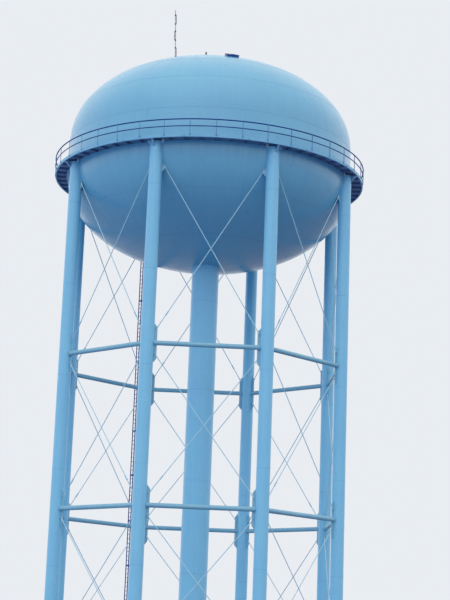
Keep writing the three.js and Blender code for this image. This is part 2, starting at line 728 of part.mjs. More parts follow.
// The mast leans a little outwards over its foot
function mastGeometry() {
  const foot = cylinder(MAST_FOOT_RADIUS, -MAST_FOOT.root, MAST_FOOT.rise, MAST_FOOT_FACETS);
  const pieces = [cylinder(MAST_RADIUS, -MAST_FOOT.root / 2, MAST_LENGTH, POLE_FACETS)];
  const half = DIPOLE_BAR / 2;
  DIPOLE_TOPS.forEach((top, index) => {
    const low = top - DIPOLE_HEIGHT;
    const y = index % 2 === 0 ? DIPOLE_REACH : -DIPOLE_REACH;
    const [y0, y1] = [y, 0].sort((a, b) => a - b);
    pieces.push(box(-half, half, y - half, y + half, low, top));
    pieces.push(box(-half, half, y0, y1, top - DIPOLE_BAR, top));
    pieces.push(box(-half, half, y0, y1, low, low + DIPOLE_BAR));
  });
  const leaning = joined(pieces).rotateX(radians(MAST_LEAN));
  return cut(joined([foot, leaning]).translate(0, -MAST_PLACE, roofAt(MAST_PLACE).z), [envelope]);
}

// The assembly

const tower = new THREE.Group();

function add(name, geometry, material, azimuth = 0, parent = tower) {
  const mesh = new THREE.Mesh(geometry, material);
  mesh.name = name;
  mesh.rotation.z = radians(azimuth);
  parent.add(mesh);
}

const holeInTower = hatchHole().applyMatrix4(hatchFrame.matrixWorld);

// The sectors of a ring, one after the other from the tank's first facet edge
function addSectors(sectors, geometry) {
  let from = SECTOR_START;
  for (const { name, facets } of sectors) {
    const to = from + facets * FACET_ANGLE;
    add(name, sectorOf(geometry, from, to), tankPaint);
    from = to;
  }
}

addSectors(ROOF_SECTORS, cut(roofRingGeometry(), [holeInTower]));
add("roof_crown", roofCrownGeometry(), tankPaint);
add("tank_shell", shellGeometry(), tankPaint);
addSectors(BOWL_SECTORS, bowlGeometry());
add("riser", riserGeometry(), steelPaint);
add("riser_pier", cylinder(RISER_PIER_RADIUS, 0, PIER_HEIGHT, RISER_PIER_FACETS), concrete);
add("overflow_pipe", overflowGeometry(), steelPaint);

const column = columnGeometry();
const pier = pierGeometry();
const bracing = bracingGeometry();
const walkway = walkwayGeometry();
const railing = railingGeometry();
const walkwayWithHole = walkwayGeometry(FIRST_COLUMN);
for (let side = 1; side <= SIDES; side += 1) {
  const sector = (side - 1) * SIDE_ANGLE;
  const atColumn = FIRST_COLUMN + sector;
  add(`column_${side}`, column, steelPaint, atColumn);
  add(`pier_${side}`, pier, concrete, atColumn);
  add(`bracing_${side}`, bracing, steelPaint, side * SIDE_ANGLE);
  add(`walkway_${side}`, side === LEG_LADDER_SIDE ? walkwayWithHole : walkway, walkwayPaint, sector);
  add(`railing_${side}`, railing, railPaint, sector);
}

const legLadderAzimuth = FIRST_COLUMN + (LEG_LADDER_SIDE - 1) * SIDE_ANGLE;
add("leg_ladder", legLadderGeometry(), railPaint, legLadderAzimuth);
add("roof_ladder", roofLadderGeometry(), railPaint, ROOF_LADDER_AZIMUTH);

tower.add(hatchTurn);
add("hatch_frame", hatchFrameGeometry(), hatchPaint, 0, hatchFrame);
add("hatch_lid", hatchLidGeometry(), hatchPaint, 0, hatchFrame);
add("roof_vent", ventGeometry(), tankPaint);
add("obstruction_light", lightGeometry(), lightPaint);
add("antenna_mast", mastGeometry(), mastMetal, -90);

export default tower;
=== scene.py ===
import math

import bmesh
import bpy
from mathutils import Matrix, Vector


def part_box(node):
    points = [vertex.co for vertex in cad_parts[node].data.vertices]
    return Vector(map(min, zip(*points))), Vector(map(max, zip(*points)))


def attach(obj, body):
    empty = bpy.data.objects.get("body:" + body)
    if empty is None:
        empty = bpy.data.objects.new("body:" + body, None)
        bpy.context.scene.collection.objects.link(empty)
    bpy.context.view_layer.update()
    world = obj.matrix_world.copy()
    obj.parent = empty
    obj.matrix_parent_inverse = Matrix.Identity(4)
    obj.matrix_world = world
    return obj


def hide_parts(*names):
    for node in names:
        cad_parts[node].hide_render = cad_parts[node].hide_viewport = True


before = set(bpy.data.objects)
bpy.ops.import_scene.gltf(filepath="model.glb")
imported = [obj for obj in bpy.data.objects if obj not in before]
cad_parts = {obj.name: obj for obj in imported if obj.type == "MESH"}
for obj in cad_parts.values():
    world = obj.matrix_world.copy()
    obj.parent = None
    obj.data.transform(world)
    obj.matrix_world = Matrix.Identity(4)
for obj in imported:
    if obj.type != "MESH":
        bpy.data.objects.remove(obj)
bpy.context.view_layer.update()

# Sizes in metres, as in the part. An azimuth is in degrees from -Y, the front, towards +X.

TANK_RADIUS = 4.875
PLATE = 0.04
EAVE_Z = 16.5
ROOF_Z = 17.8
ROOF_RISE = 2.8875
ROOF_FULLNESS = 2.2
BOWL_DEPTH = 2.95
BOWL_HOLE = 0.4275
TANK_SEGMENTS = 192

RISER_RADIUS = 0.4575
RISER_WALL = 0.03
RISER_FLANGE = 0.6
OVERFLOW_RADIUS = 0.065
OVERFLOW_Y = 0.6025
OVERFLOW_BRACKETS = [1.0 + 2.3 * bracket for bracket in range(6)]

PIER_HEIGHT = 0.15
PIER_SIDE = 0.75
RISER_PIER_RADIUS = 0.75

SIDE_AZIMUTHS = [45.0 * side for side in range(8)]
COLUMN_AZIMUTHS = [22.5 + azimuth for azimuth in SIDE_AZIMUTHS]
COLUMN_CIRCLE = 4.8725
COLUMN_RADIUS = 0.2125
COLUMN_SEAMS = [3.2, 6.25, 9.3, 12.35, 15.1]
BASE_PLATE_SIDE = 0.575
BASE_PLATE_TOP = 0.175
KNEE_DROP = 0.215
KNEE_BAR = 0.055
KNEE_REACH = 5.29

HALF_BAY = COLUMN_CIRCLE * math.sin(math.radians(22.5))
STRUT_PLANE = COLUMN_CIRCLE * math.cos(math.radians(22.5))
ROD_PLANE = STRUT_PLANE - 0.02
BRACE_LEVELS = [16.2, 10.0, 5.0, 0.45]
STRUT_LEVELS = [10.0, 5.0]
STRUT_RADIUS = 0.075
ROD_RADIUS = 0.0135
GUSSET_ROOT = HALF_BAY - 0.19
GUSSET_EDGE = HALF_BAY - 0.3084
GUSSET_TAPER = 0.15
GUSSETS = [(15.5, 15.86), (9.35, 10.65), (4.35, 5.65), (0.525, 1.025)]
ROD_END = HALF_BAY - 0.2334

WALKWAY_RADIUS = 5.3125
FLOOR_TOP = 16.6
RAIL_CIRCLE = 5.319
POST_RADIUS = 5.332
POST_FOOT = 16.55
POST_PLATE = 0.045
TOP_RAIL_RADIUS = 0.02
TOP_RAIL_Z = 17.0845
MIDDLE_RAIL_RADIUS = 0.016
MIDDLE_RAIL_Z = 16.8533
POST_AZIMUTHS = [9.0 * post for post in range(40)]
JOIST_AZIMUTHS = [5.625 * joist for joist in range(64)]
SPLICE_AZIMUTHS = [11.25 + 22.5 * splice for splice in range(16)]
LADDER_HOLE_X = (0.25, 0.675)
LADDER_HOLE_RADII = (4.935, 5.275)
LADDER_HOLE_JOIST = 208.125

LEG_LADDER_AZIMUTH = 202.5
LEG_LADDER_TANGENT = 0.30
LEG_LADDER_RADIUS = 5.10
LEG_LADDER_LOW = 1.2
LEG_LADDER_HIGH = 17.185
LEG_LADDER_BRACKETS = [1.2 + (step + 0.5) * 1.61667 for step in range(9)]
LADDER_WIDTH = 0.225
ROOF_LADDER_AZIMUTH = 213.75
ROOF_LADDER_STANDOFF = 0.1
ROOF_LADDER_BRACKETS = [3.0 + 12.5 * step for step in range(7)]

HATCH_AZIMUTH = 9.5
HATCH_RADIUS = 3.0
HATCH_HALF = 0.2
HATCH_WALL = 0.012
HATCH_HEIGHT = 0.05
LID_HALF = 0.213
LID_BACK = 0.197
LID_LOW = 0.055
LID_HIGH = 0.073
HINGE_Y = 0.214
HINGE_Z = 0.064
PIN_RADIUS = 0.006
KNUCKLE_RADIUS = 0.012

VENT_NECK_RADIUS = 0.11
VENT_CAP_RADIUS = 0.2
VENT_HEIGHT = 0.275
LIGHT_X = -0.29
LIGHT_TOP = 21.425
LIGHT_RADIUS = 0.03
LIGHT_HEIGHT = 0.12
MAST_X = -1.35
MAST_LEAN = 2.2
MAST_LENGTH = 2.325
MAST_RADIUS = 0.015
DIPOLE_TOPS = [2.145, 1.54, 0.92]
DIPOLE_HEIGHT = 0.35
DIPOLE_REACH = 0.031

ROOF_RING_SEAMS = [4.595, 3.725, 2.036]
SHELL_SEAM_Z = 17.65
BOWL_RING_SEAMS = [27.0, 56.0]
RING_BEAD = 0.0026
PLATE_BEAD = 0.0018
CREASE = math.radians(32)

FLOOR_RADIUS = 300.0
EYE = (-1.6439, -52.3366, 0.7538)
PITCH = 0.220
ROLL = 0.0373
YAW = 0.0448
LENS = 94.32

FULL_TURN = 2 * math.pi
Z_AXIS = Vector((0.0, 0.0, 1.0))
scene = bpy.context.scene


# Places

def on_ring(radius, azimuth, z=0.0):
    angle = math.radians(azimuth)
    return Vector((radius * math.sin(angle), -radius * math.cos(angle), z))


def turned_to(azimuth):
    return Matrix.Rotation(math.radians(azimuth), 4, "Z")


def moved_by(x, y, z):
    return Matrix.Translation((x, y, z))


def roof_normal(degrees):
    """How far out and up the roof faces, at an angle that is 0 at its rim and 90 at the crown."""
    angle = math.radians(degrees)
    share = max(math.cos(angle), 0.0) ** (2 / ROOF_FULLNESS)
    out = ROOF_FULLNESS * share ** (ROOF_FULLNESS - 1) / TANK_RADIUS
    up = 2 * math.sin(angle) / ROOF_RISE
    return Vector((out, up)).normalized()


def roof_point(degrees, offset=0.0):
    angle = math.radians(degrees)
    radius = TANK_RADIUS * max(math.cos(angle), 0.0) ** (2 / ROOF_FULLNESS)
    normal = roof_normal(degrees)
    return radius + offset * normal.x, ROOF_Z + ROOF_RISE * math.sin(angle) + offset * normal.y


def roof_angle(radius):
    return math.degrees(math.acos((radius / TANK_RADIUS) ** (ROOF_FULLNESS / 2)))


def roof_height(radius):
    return roof_point(roof_angle(radius))[1]


def bowl_point(degrees):
    angle = math.radians(degrees)
    return TANK_RADIUS * math.cos(angle), EAVE_Z - BOWL_DEPTH * math.sin(angle)


def bowl_height(radius):
    return EAVE_Z - BOWL_DEPTH * math.sqrt(max(0.0, 1 - (radius / TANK_RADIUS) ** 2))


def hatch_place():
    """The hatch's own frame: x along its hinge, y uphill and z out of the roof."""
    outward = on_ring(1.0, HATCH_AZIMUTH)
    normal = roof_normal(roof_angle(HATCH_RADIUS))
    z_axis = outward * normal.x + Z_AXIS * normal.y
    y_axis = Z_AXIS * normal.x - outward * normal.y
    place = Matrix((y_axis.cross(z_axis), y_axis, z_axis)).transposed().to_4x4()
    place.translation = on_ring(HATCH_RADIUS, HATCH_AZIMUTH, roof_height(HATCH_RADIUS))
    return place


# Node graphs, for geometry and for materials

def titled(name):
    return name.replace("_", " ").title()


class Value:
    """A node's output. Its arithmetic is done by Math nodes."""

    def __init__(self, graph, socket):
        self.graph = graph
        self.socket = socket

    def __add__(self, other):
        return self.graph.math("ADD", self, other)

    def __sub__(self, other):
        return self.graph.math("SUBTRACT", self, other)

    def __rsub__(self, other):
        return self.graph.math("SUBTRACT", other, self)

    def __mul__(self, other):
        return self.graph.math("MULTIPLY", self, other)

    def __truediv__(self, other):
        return self.graph.math("DIVIDE", self, other)

    def __rtruediv__(self, other):
        return self.graph.math("DIVIDE", other, self)


class Graph:
    def __init__(self, tree):
        self.tree = tree

    def add(self, kind, inputs=None, **settings):
        node = self.tree.nodes.new(kind)
        for name, value in settings.items():
            setattr(node, name, value)
        for key, value in (inputs or {}).items():
            self.feed(node.inputs[key], value)
        return node

    def feed(self, socket, value):
        if isinstance(value, Value):
            self.tree.links.new(value.socket, socket)
        else:
            socket.default_value = value

    def out(self, kind, inputs=None, output=0, **settings):
        return Value(self, self.add(kind, inputs, **settings).outputs[output])

    def math(self, operation, *values, clamp=False):
        return self.out("ShaderNodeMath", dict(enumerate(values)), operation=operation, use_clamp=clamp)

    def vector(self, x=0.0, y=0.0, z=0.0):
        return self.out("ShaderNodeCombineXYZ", {0: x, 1: y, 2: z})

    def parts(self, vector):
        return [Value(self, part) for part in self.add("ShaderNodeSeparateXYZ", {0: vector}).outputs]


class Recipe(Graph):
    """A Geometry Nodes tree with named inputs for its sizes. make() gives its result as a plain mesh."""

    def __init__(self, name):
        super().__init__(bpy.data.node_groups.new(name, "GeometryNodeTree"))
        for label, way, kind in (
            ("Stock", "INPUT", "NodeSocketGeometry"),
            ("Finish", "INPUT", "NodeSocketMaterial"),
            ("Result", "OUTPUT", "NodeSocketGeometry"),
        ):
            self.tree.interface.new_socket(label, in_out=way, socket_type=kind)
        self.start = self.tree.nodes.new("NodeGroupInput")
        self.end = self.tree.nodes.new("NodeGroupOutput")
        self.stock = self.given("Stock")

    def given(self, label):
        return Value(self, self.start.outputs[label])

    def size(self, name, value):
        kind = "NodeSocketInt" if isinstance(value, int) else "NodeSocketFloat"
        item = self.tree.interface.new_socket(titled(name), in_out="INPUT", socket_type=kind)
        item.default_value = value
        return self.given(titled(name))

    def position(self):
        return self.parts(self.out("GeometryNodeInputPosition"))

    def attribute(self, name, kind="FLOAT"):
        return self.out("GeometryNodeInputNamedAttribute", {"Name": name}, data_type=kind)

    def own_turn(self):
        return self.vector(z=self.attribute("turn"))

    def at_turn(self, reach, turn, height):
        """The place at a radius, a turn from the front and a height."""
        across, forward = [reach * self.math(operation, turn) for operation in ("SINE", "COSINE")]
        return self.vector(across, forward * -1.0, height)

    def together(self, *geometries):
        node = self.tree.nodes.new("GeometryNodeJoinGeometry")
        for geometry in geometries:
            self.feed(node.inputs[0], geometry)
        return Value(self, node.outputs[0])

    def moved(self, geometry, by, turn=(0.0, 0.0, 0.0)):
        inputs = {"Geometry": geometry, "Translation": by, "Rotation": turn}
        return self.out("GeometryNodeTransform", inputs)

    def block(self, size, centre):
        return self.moved(self.out("GeometryNodeMeshCube", {"Size": size}), centre)

    def rod(self, radius, length, sides, centre=(0.0, 0.0, 0.0), turn=(0.0, 0.0, 0.0)):
        inputs = {"Vertices": sides, "Radius": radius, "Depth": length}
        cylinder = self.out("GeometryNodeMeshCylinder", inputs, fill_type="NGON")
        return self.moved(cylinder, centre, turn)

    def stock_lines(self):
        return self.out("GeometryNodeMeshToCurve", {"Mesh": self.stock})

    def swept(self, curve, section):
        inputs = {"Curve": curve, "Profile Curve": section, "Fill Caps": True}
        return self.out("GeometryNodeCurveToMesh", inputs)

    def round_swept(self, curve, radius, sides):
        inputs = {"Resolution": sides, "Radius": radius}
        return self.swept(curve, self.out("GeometryNodeCurvePrimitiveCircle", inputs))

    def set_at(self, geometry, position):
        return self.out("GeometryNodeSetPosition", {"Geometry": geometry, "Position": position})

    def merged(self, geometry):
        return self.out("GeometryNodeMergeByDistance", {"Geometry": geometry, "Distance": 0.0005})

    def copies(self, points, instance, rotation=None):
        inputs = {"Points": points, "Instance": instance}
        if rotation is not None:
            inputs["Rotation"] = rotation
        return self.out("GeometryNodeInstanceOnPoints", inputs)

    def ring_of(self, count, instance, first=0.0):
        """Copies of what is built at azimuth 0, evenly spaced round the axis."""
        points = self.out("GeometryNodeMeshLine", {"Count": count, "Offset": (0.0, 0.0, 0.0)})
        azimuth = self.out("GeometryNodeInputIndex") * (FULL_TURN / count) + first
        return self.copies(points, instance, self.vector(z=azimuth))

    def close(self, geometry):
        realized = self.out("GeometryNodeRealizeInstances", {"Geometry": geometry})
        inputs = {"Geometry": realized, "Material": self.given("Finish")}
        self.feed(self.end.inputs["Result"], self.out("GeometryNodeSetMaterial", inputs))
        return self

    def make(self, material, stock=None, **sizes):
        worker = new_object("worker", stock or bpy.data.meshes.new("stock"))
        modifier = worker.modifiers.new("recipe", "NODES")
        modifier.node_group = self.tree
        given = {titled(name): value for name, value in sizes.items()}
        given["Finish"] = material
        for item in self.tree.interface.items_tree:
            if item.in_out == "INPUT" and item.name in given:
                modifier[item.identifier] = given.pop(item.name)
        if given:
            raise ValueError(f"{self.tree.name} has no input named {sorted(given)}")
        result = evaluated(worker)
        for attribute in [a for a in result.attributes if a.name in ("row", "facing", "turn")]:
            result.attributes.remove(attribute)
        return result


def recipe(build):
    """A recipe from a function, whose named arguments become the inputs of its tree."""
    nodes = Recipe(build.__name__)
    sizes = {name: nodes.size(name, value) for name, value in build.__kwdefaults__.items()}
    return nodes.close(build(nodes, **sizes))


def new_object(name, data):
    made = bpy.data.objects.new(name, data)
    scene.collection.objects.link(made)
    return made


def evaluated(worker):
    """The mesh that an object's modifiers give. The modifiers and the object go."""
    depsgraph = bpy.context.evaluated_depsgraph_get()
    mesh = bpy.data.meshes.new_from_object(worker.evaluated_get(depsgraph))
    worker.modifiers.clear()
    bpy.data.objects.remove(worker)
    return mesh


# Stock for the recipes: lines to follow, and points that know which way they face

def lines(runs, closed=False):
    vertices = []
    edges = []
    for run in runs:
        first = len(vertices)
        vertices += [tuple(point) for point in run]
        edges += [(index, index + 1) for index in range(first, len(vertices) - 1)]
        if closed:
            edges.append((len(vertices) - 1, first))
    mesh = bpy.data.meshes.new("lines")
    mesh.from_pydata(vertices, edges, [])
    return mesh


def marks(places, name, kind, channel, values):
    """Points, each with a value of its own for the recipe that reads them."""
    mesh = bpy.data.meshes.new("marks")
    mesh.from_pydata([tuple(place) for place in places], [], [])
    mesh.attributes.new(name, kind, "POINT").data.foreach_set(channel, values)
    return mesh


def turn_marks(azimuths):
    turns = [math.radians(azimuth) for azimuth in azimuths]
    return marks([(0.0, 0.0, 0.0)] * len(azimuths), "turn", "FLOAT", "value", turns)


def circle(radius, z, segments=TANK_SEGMENTS, y=0.0):
    return [on_ring(radius, 360.0 * index / segments, z) + Vector((0, y, 0)) for index in range(segments)]


# The recipes

@recipe
def turned_plates(
    nodes,
    *,
    radius=TANK_RADIUS,
    rise=ROOF_RISE,
    power=1.0,
    base_height=ROOF_Z,
    first_angle=0.0,
    last_angle=math.pi / 2,
    rings=32,
    segments=TANK_SEGMENTS,
):
    """A plate turned round the tank's axis: radius by a power of an angle's cosine, height by its sine."""
    inputs = {"Size X": 1.0, "Size Y": 1.0, "Vertices X": segments + 1.0, "Vertices Y": rings + 1.0}
    grid = nodes.out("GeometryNodeMeshGrid", inputs)
    x, y, _ = nodes.position()
    angle = (y + 0.5) * (last_angle - first_angle) + first_angle
    cosine = nodes.math("MAXIMUM", nodes.math("COSINE", angle), 0.0)
    reach = radius * nodes.math("POWER", cosine, power)
    height = nodes.math("SINE", angle) * rise + base_height
    return nodes.merged(nodes.set_at(grid, nodes.at_turn(reach, (x + 0.5) * FULL_TURN, height)))


@recipe
def round_bars(nodes, *, bar_radius=0.01, sides=12):
    """A round bar, pipe or bead of weld along each line."""
    return nodes.round_swept(nodes.stock_lines(), bar_radius, sides)


@recipe
def columns(
    nodes,
    *,
    columns=8,
    first_azimuth=math.radians(22.5),
    column_circle=COLUMN_CIRCLE,
    column_radius=COLUMN_RADIUS,
    foot_height=PIER_HEIGHT,
    eave_height=EAVE_Z,
    tank_radius=TANK_RADIUS,
    bowl_depth=BOWL_DEPTH,
    facets=48,
    bead_radius=0.006,
):
    """Round columns with their tops coped to the bowl, and the bead of weld along each cope."""
    rows = 8
    inputs = {"Size X": 1.0, "Size Y": float(rows), "Vertices X": facets + 1.0, "Vertices Y": rows + 1}
    grid = nodes.out("GeometryNodeMeshGrid", inputs)
    x, y, _ = nodes.position()
    # Row 0 is the middle of the foot, row 1 its rim, row 2 the rim of the cope and row 8 its middle.
    row = y + rows / 2
    inputs = {"Geometry": grid, "Name": "row", "Value": row}
    marked = nodes.out("GeometryNodeStoreNamedAttribute", inputs, data_type="FLOAT")
    cap_share = (float(rows) - row) / (rows - 2.0)
    share = nodes.math("MINIMUM", nodes.math("MINIMUM", row, cap_share), 1.0)
    reach = column_radius * share
    turn = (x + 0.5) * FULL_TURN
    left = reach * nodes.math("SINE", turn)
    front = column_circle + reach * nodes.math("COSINE", turn)
    ratio = nodes.math("SQRT", left * left + front * front) / tank_radius
    dip = nodes.math("SQRT", nodes.math("MAXIMUM", 1.0 - ratio * ratio, 0.0))
    top = eave_height - bowl_depth * dip
    height = (top - foot_height) * nodes.math("SUBTRACT", row, 1.0, clamp=True) + foot_height
    shaft = nodes.merged(nodes.set_at(marked, nodes.vector(left, front * -1.0, height)))
    rim = nodes.math("COMPARE", nodes.attribute("row"), 2.0, 0.01)
    edge = nodes.out("GeometryNodeMeshToCurve", {"Mesh": shaft, "Selection": rim})
    weld = nodes.round_swept(edge, bead_radius, 6)
    return nodes.ring_of(columns, nodes.together(shaft, weld), first_azimuth)


@recipe
def bolts(nodes, *, nut_radius=0.011, nut_height=0.009):
    """A washer, a hexagon nut and the end of its bolt at each point, facing its way."""
    thin = nut_height * 0.25
    washer = nodes.rod(nut_radius * 1.5, thin, 12, nodes.vector(z=thin * 0.5))
    nut = nodes.rod(nut_radius, nut_height, 6, nodes.vector(z=nut_height * 0.5 + thin))
    stud = nodes.rod(nut_radius * 0.55, nut_height, 8, nodes.vector(z=nut_height * 0.7 + thin))
    inputs = {"Vector": nodes.attribute("facing", "FLOAT_VECTOR")}
    aligned = nodes.out("FunctionNodeAlignRotationToVector", inputs, axis="Z")
    return nodes.copies(nodes.stock, nodes.together(washer, nut, stud), aligned)


@recipe
def walkway_joists(
    nodes,
    *,
    inner_radius=TANK_RADIUS + 0.002,
    outer_radius=WALKWAY_RADIUS - 0.009,
    low_height=EAVE_Z + 0.003,
    high_height=FLOOR_TOP - 0.012,
    web_thickness=0.007,
    flange_width=0.036,
):
    """The walkway's radial joists: an upright web with a flange along its lower edge."""
    length = outer_radius - inner_radius
    middle = (inner_radius + outer_radius) * -0.5
    web_place = nodes.vector(0.0, middle, (low_height + high_height) * 0.5)
    web = nodes.block(nodes.vector(web_thickness, length, high_height - low_height), web_place)
    flange_place = nodes.vector(flange_width * 0.4, middle, low_height + web_thickness * 0.5)
    flange = nodes.block(nodes.vector(flange_width, length, web_thickness), flange_place)
    return nodes.copies(nodes.stock, nodes.together(web, flange), nodes.own_turn())


@recipe
def handrail_posts(
    nodes,
    *,
    outer_radius=POST_RADIUS,
    rim_radius=WALKWAY_RADIUS,
    low_height=POST_FOOT,
    high_height=TOP_RAIL_Z,
    middle_rail_height=MIDDLE_RAIL_Z,
    leg_width=0.024,
    leg_thickness=0.005,
    foot_height=POST_PLATE,
):
    """The handrail's posts: an angle outside the walkway's rim, with its foot plate and its rail clip."""
    depth = outer_radius - rim_radius
    tall = high_height - low_height
    middle = (low_height + high_height) * 0.5
    half_thick = leg_thickness * 0.5
    side_y = (rim_radius + outer_radius) * -0.5
    front_place = nodes.vector(0.0, half_thick - outer_radius, middle)
    side_place = nodes.vector(half_thick - leg_width * 0.5, side_y, middle)
    plate_place = nodes.vector(0.0, (rim_radius + half_thick) * -1.0, low_height + foot_height * 0.5)
    whole = nodes.together(
        nodes.block(nodes.vector(leg_width, leg_thickness, tall), front_place),
        nodes.block(nodes.vector(leg_thickness, depth, tall), side_place),
        nodes.block(nodes.vector(leg_width * 2.2, leg_thickness, foot_height), plate_place),
        nodes.block(
            nodes.vector(leg_width * 1.2, depth, leg_width * 1.4),
            nodes.vector(0.0, side_y, middle_rail_height),
        ),
    )
    return nodes.copies(nodes.stock, whole, nodes.own_turn())


@recipe
def ladder(
    nodes,
    *,
    ladder_width=LADDER_WIDTH,
    rung_spacing=0.1525,
    rung_radius=0.0085,
    stile_thickness=0.012,
    stile_depth=0.0325,
):
    """A ladder along a line in the plane x = 0: a flat stile on each side, and round rungs."""
    inputs = {"Curve": nodes.stock_lines()}
    path = nodes.out("GeometryNodeSetCurveNormal", inputs, mode="MINIMUM_TWIST")
    inputs = {"Width": stile_thickness, "Height": stile_depth}
    section = nodes.out("GeometryNodeCurvePrimitiveQuadrilateral", inputs)
    sides = [nodes.moved(path, nodes.vector(ladder_width * side)) for side in (-0.5, 0.5)]
    stiles = [nodes.swept(side, section) for side in sides]
    inputs = {"Curve": path, "Length": rung_spacing}
    stops = nodes.out("GeometryNodeResampleCurve", inputs, mode="LENGTH")
    rung = nodes.rod(rung_radius, ladder_width, 12, turn=(0.0, math.pi / 2, 0.0))
    return nodes.together(*stiles, nodes.copies(stops, rung))


@recipe
def tie_rods(
    nodes,
    *,
    rod_radius=ROD_RADIUS,
    clevis_length=0.17,
    turnbuckle_start=0.75,
    turnbuckle_length=0.17,
):
    """Tie rods along lines, each with a clevis at both ends and a turnbuckle near its lower one."""
    curve = nodes.stock_lines()
    length = nodes.out("GeometryNodeSplineLength")

    def stretch(start, end, size, sides):
        # Sockets 4 and 5 are the start and the end as lengths.
        inputs = {"Curve": curve, 4: start, 5: end}
        trimmed = nodes.out("GeometryNodeTrimCurve", inputs, mode="LENGTH")
        return nodes.round_swept(trimmed, rod_radius * size, sides)

    start = length - turnbuckle_start
    return nodes.together(
        nodes.round_swept(curve, rod_radius, 12),
        stretch(0.0, clevis_length, 1.55, 8),
        stretch(length - clevis_length, length, 1.55, 8),
        stretch(start, start + turnbuckle_length, 1.7, 6),
    )


@recipe
def floor_panels(
    nodes,
    *,
    panels=16,
    inner_radius=TANK_RADIUS + 0.001,
    outer_radius=WALKWAY_RADIUS - 0.008,
    top_height=FLOOR_TOP,
    panel_thickness=0.012,
    joint_angle=0.0008,
):
    """The walkway's floor: sector plates with a narrow joint between them."""
    inputs = {"Size": (1.0, 1.0, 1.0), "Vertices X": 13, "Vertices Y": 2, "Vertices Z": 2}
    cube = nodes.out("GeometryNodeMeshCube", inputs)
    x, y, z = nodes.position()
    turn = x * (FULL_TURN / panels - joint_angle)
    reach = inner_radius + (0.5 - y) * (outer_radius - inner_radius)
    height = top_height + (z - 0.5) * panel_thickness
    return nodes.ring_of(panels, nodes.set_at(cube, nodes.at_turn(reach, turn, height)))


@recipe
def slats(nodes, *, bars=24, ring_radius=0.1, bar_radius=0.003, low_height=0.0, high_height=0.1):
    """Upright round bars on a ring, as in a screen or a guard."""
    centre = nodes.vector(0.0, ring_radius * -1.0, (low_height + high_height) * 0.5)
    return nodes.ring_of(bars, nodes.rod(bar_radius, high_height - low_height, 8, centre))


# Materials

def srgb(red, green, blue):
    def linear(value):
        share = value / 255
        return share / 12.92 if share <= 0.04045 else ((share + 0.055) / 1.055) ** 2.4

    return (linear(red), linear(green), linear(blue), 1.0)


class Finish(Graph):
    """A material whose nodes read the piece's own coordinates in metres."""

    def __init__(self, name, colour):
        self.material = bpy.data.materials.new(name)
        self.material.use_nodes = True
        super().__init__(self.material.node_tree)
        self.tree.nodes.clear()
        self.shader = self.add("ShaderNodeBsdfPrincipled")
        self.add("ShaderNodeOutputMaterial", {"Surface": Value(self, self.shader.outputs["BSDF"])})
        self.place = self.out("ShaderNodeTexCoord", output="Object")
        self.x, self.y, self.z = self.parts(self.place)
        self.colour = srgb(*colour)

    def noise(self, scale, detail=4.0, roughness=0.55, place=None):
        inputs = {"Vector": place or self.place, "Scale": scale, "Detail": detail, "Roughness": roughness}
        return self.out("ShaderNodeTexNoise", inputs, noise_dimensions="3D")

    def squeezed(self, across, up):
        """The piece's coordinates with a scale across and one up, for runs and brush marks."""
        return self.vector(self.x * across, self.y * across, self.z * up)

    def spread(self, value, low, high, to_low=0.0, to_high=1.0):
        inputs = {"Value": value, "From Min": low, "From Max": high, "To Min": to_low, "To Max": to_high}
        return self.out("ShaderNodeMapRange", inputs, clamp=True)

    def lay(self, colour, share):
        """Lays a colour over what is there, as far as the share says."""
        # Sockets 6 and 7 and output 2 are the node's colours.
        inputs = {0: share, 6: self.colour, 7: srgb(*colour)}
        self.colour = self.out("ShaderNodeMix", inputs, 2, data_type="RGBA", clamp_factor=True)

    def tint(self, colour, value, *span):
        self.lay(colour, self.spread(value, *span))

    def near(self, value, targets, width):
        """1 where the value is at one of the targets, falling to 0 at the width from it."""
        total = 0.0
        for target in targets:
            away = self.math("ABSOLUTE", value - target)
            total = self.math("MAXIMUM", total, self.spread(away, 0.0, width, 1.0, 0.0))
        return total

    def bump(self, height, strength, distance, under=None):
        inputs = {"Height": height, "Strength": strength, "Distance": distance}
        if under is not None:
            inputs["Normal"] = under
        return self.out("ShaderNodeBump", inputs)

    def end(self, roughness, normal, **constants):
        self.feed(self.shader.inputs["Base Color"], self.colour)
        self.feed(self.shader.inputs["Roughness"], roughness)
        self.feed(self.shader.inputs["Normal"], normal)
        for name, value in constants.items():
            self.shader.inputs[titled(name)].default_value = value
        return self.material


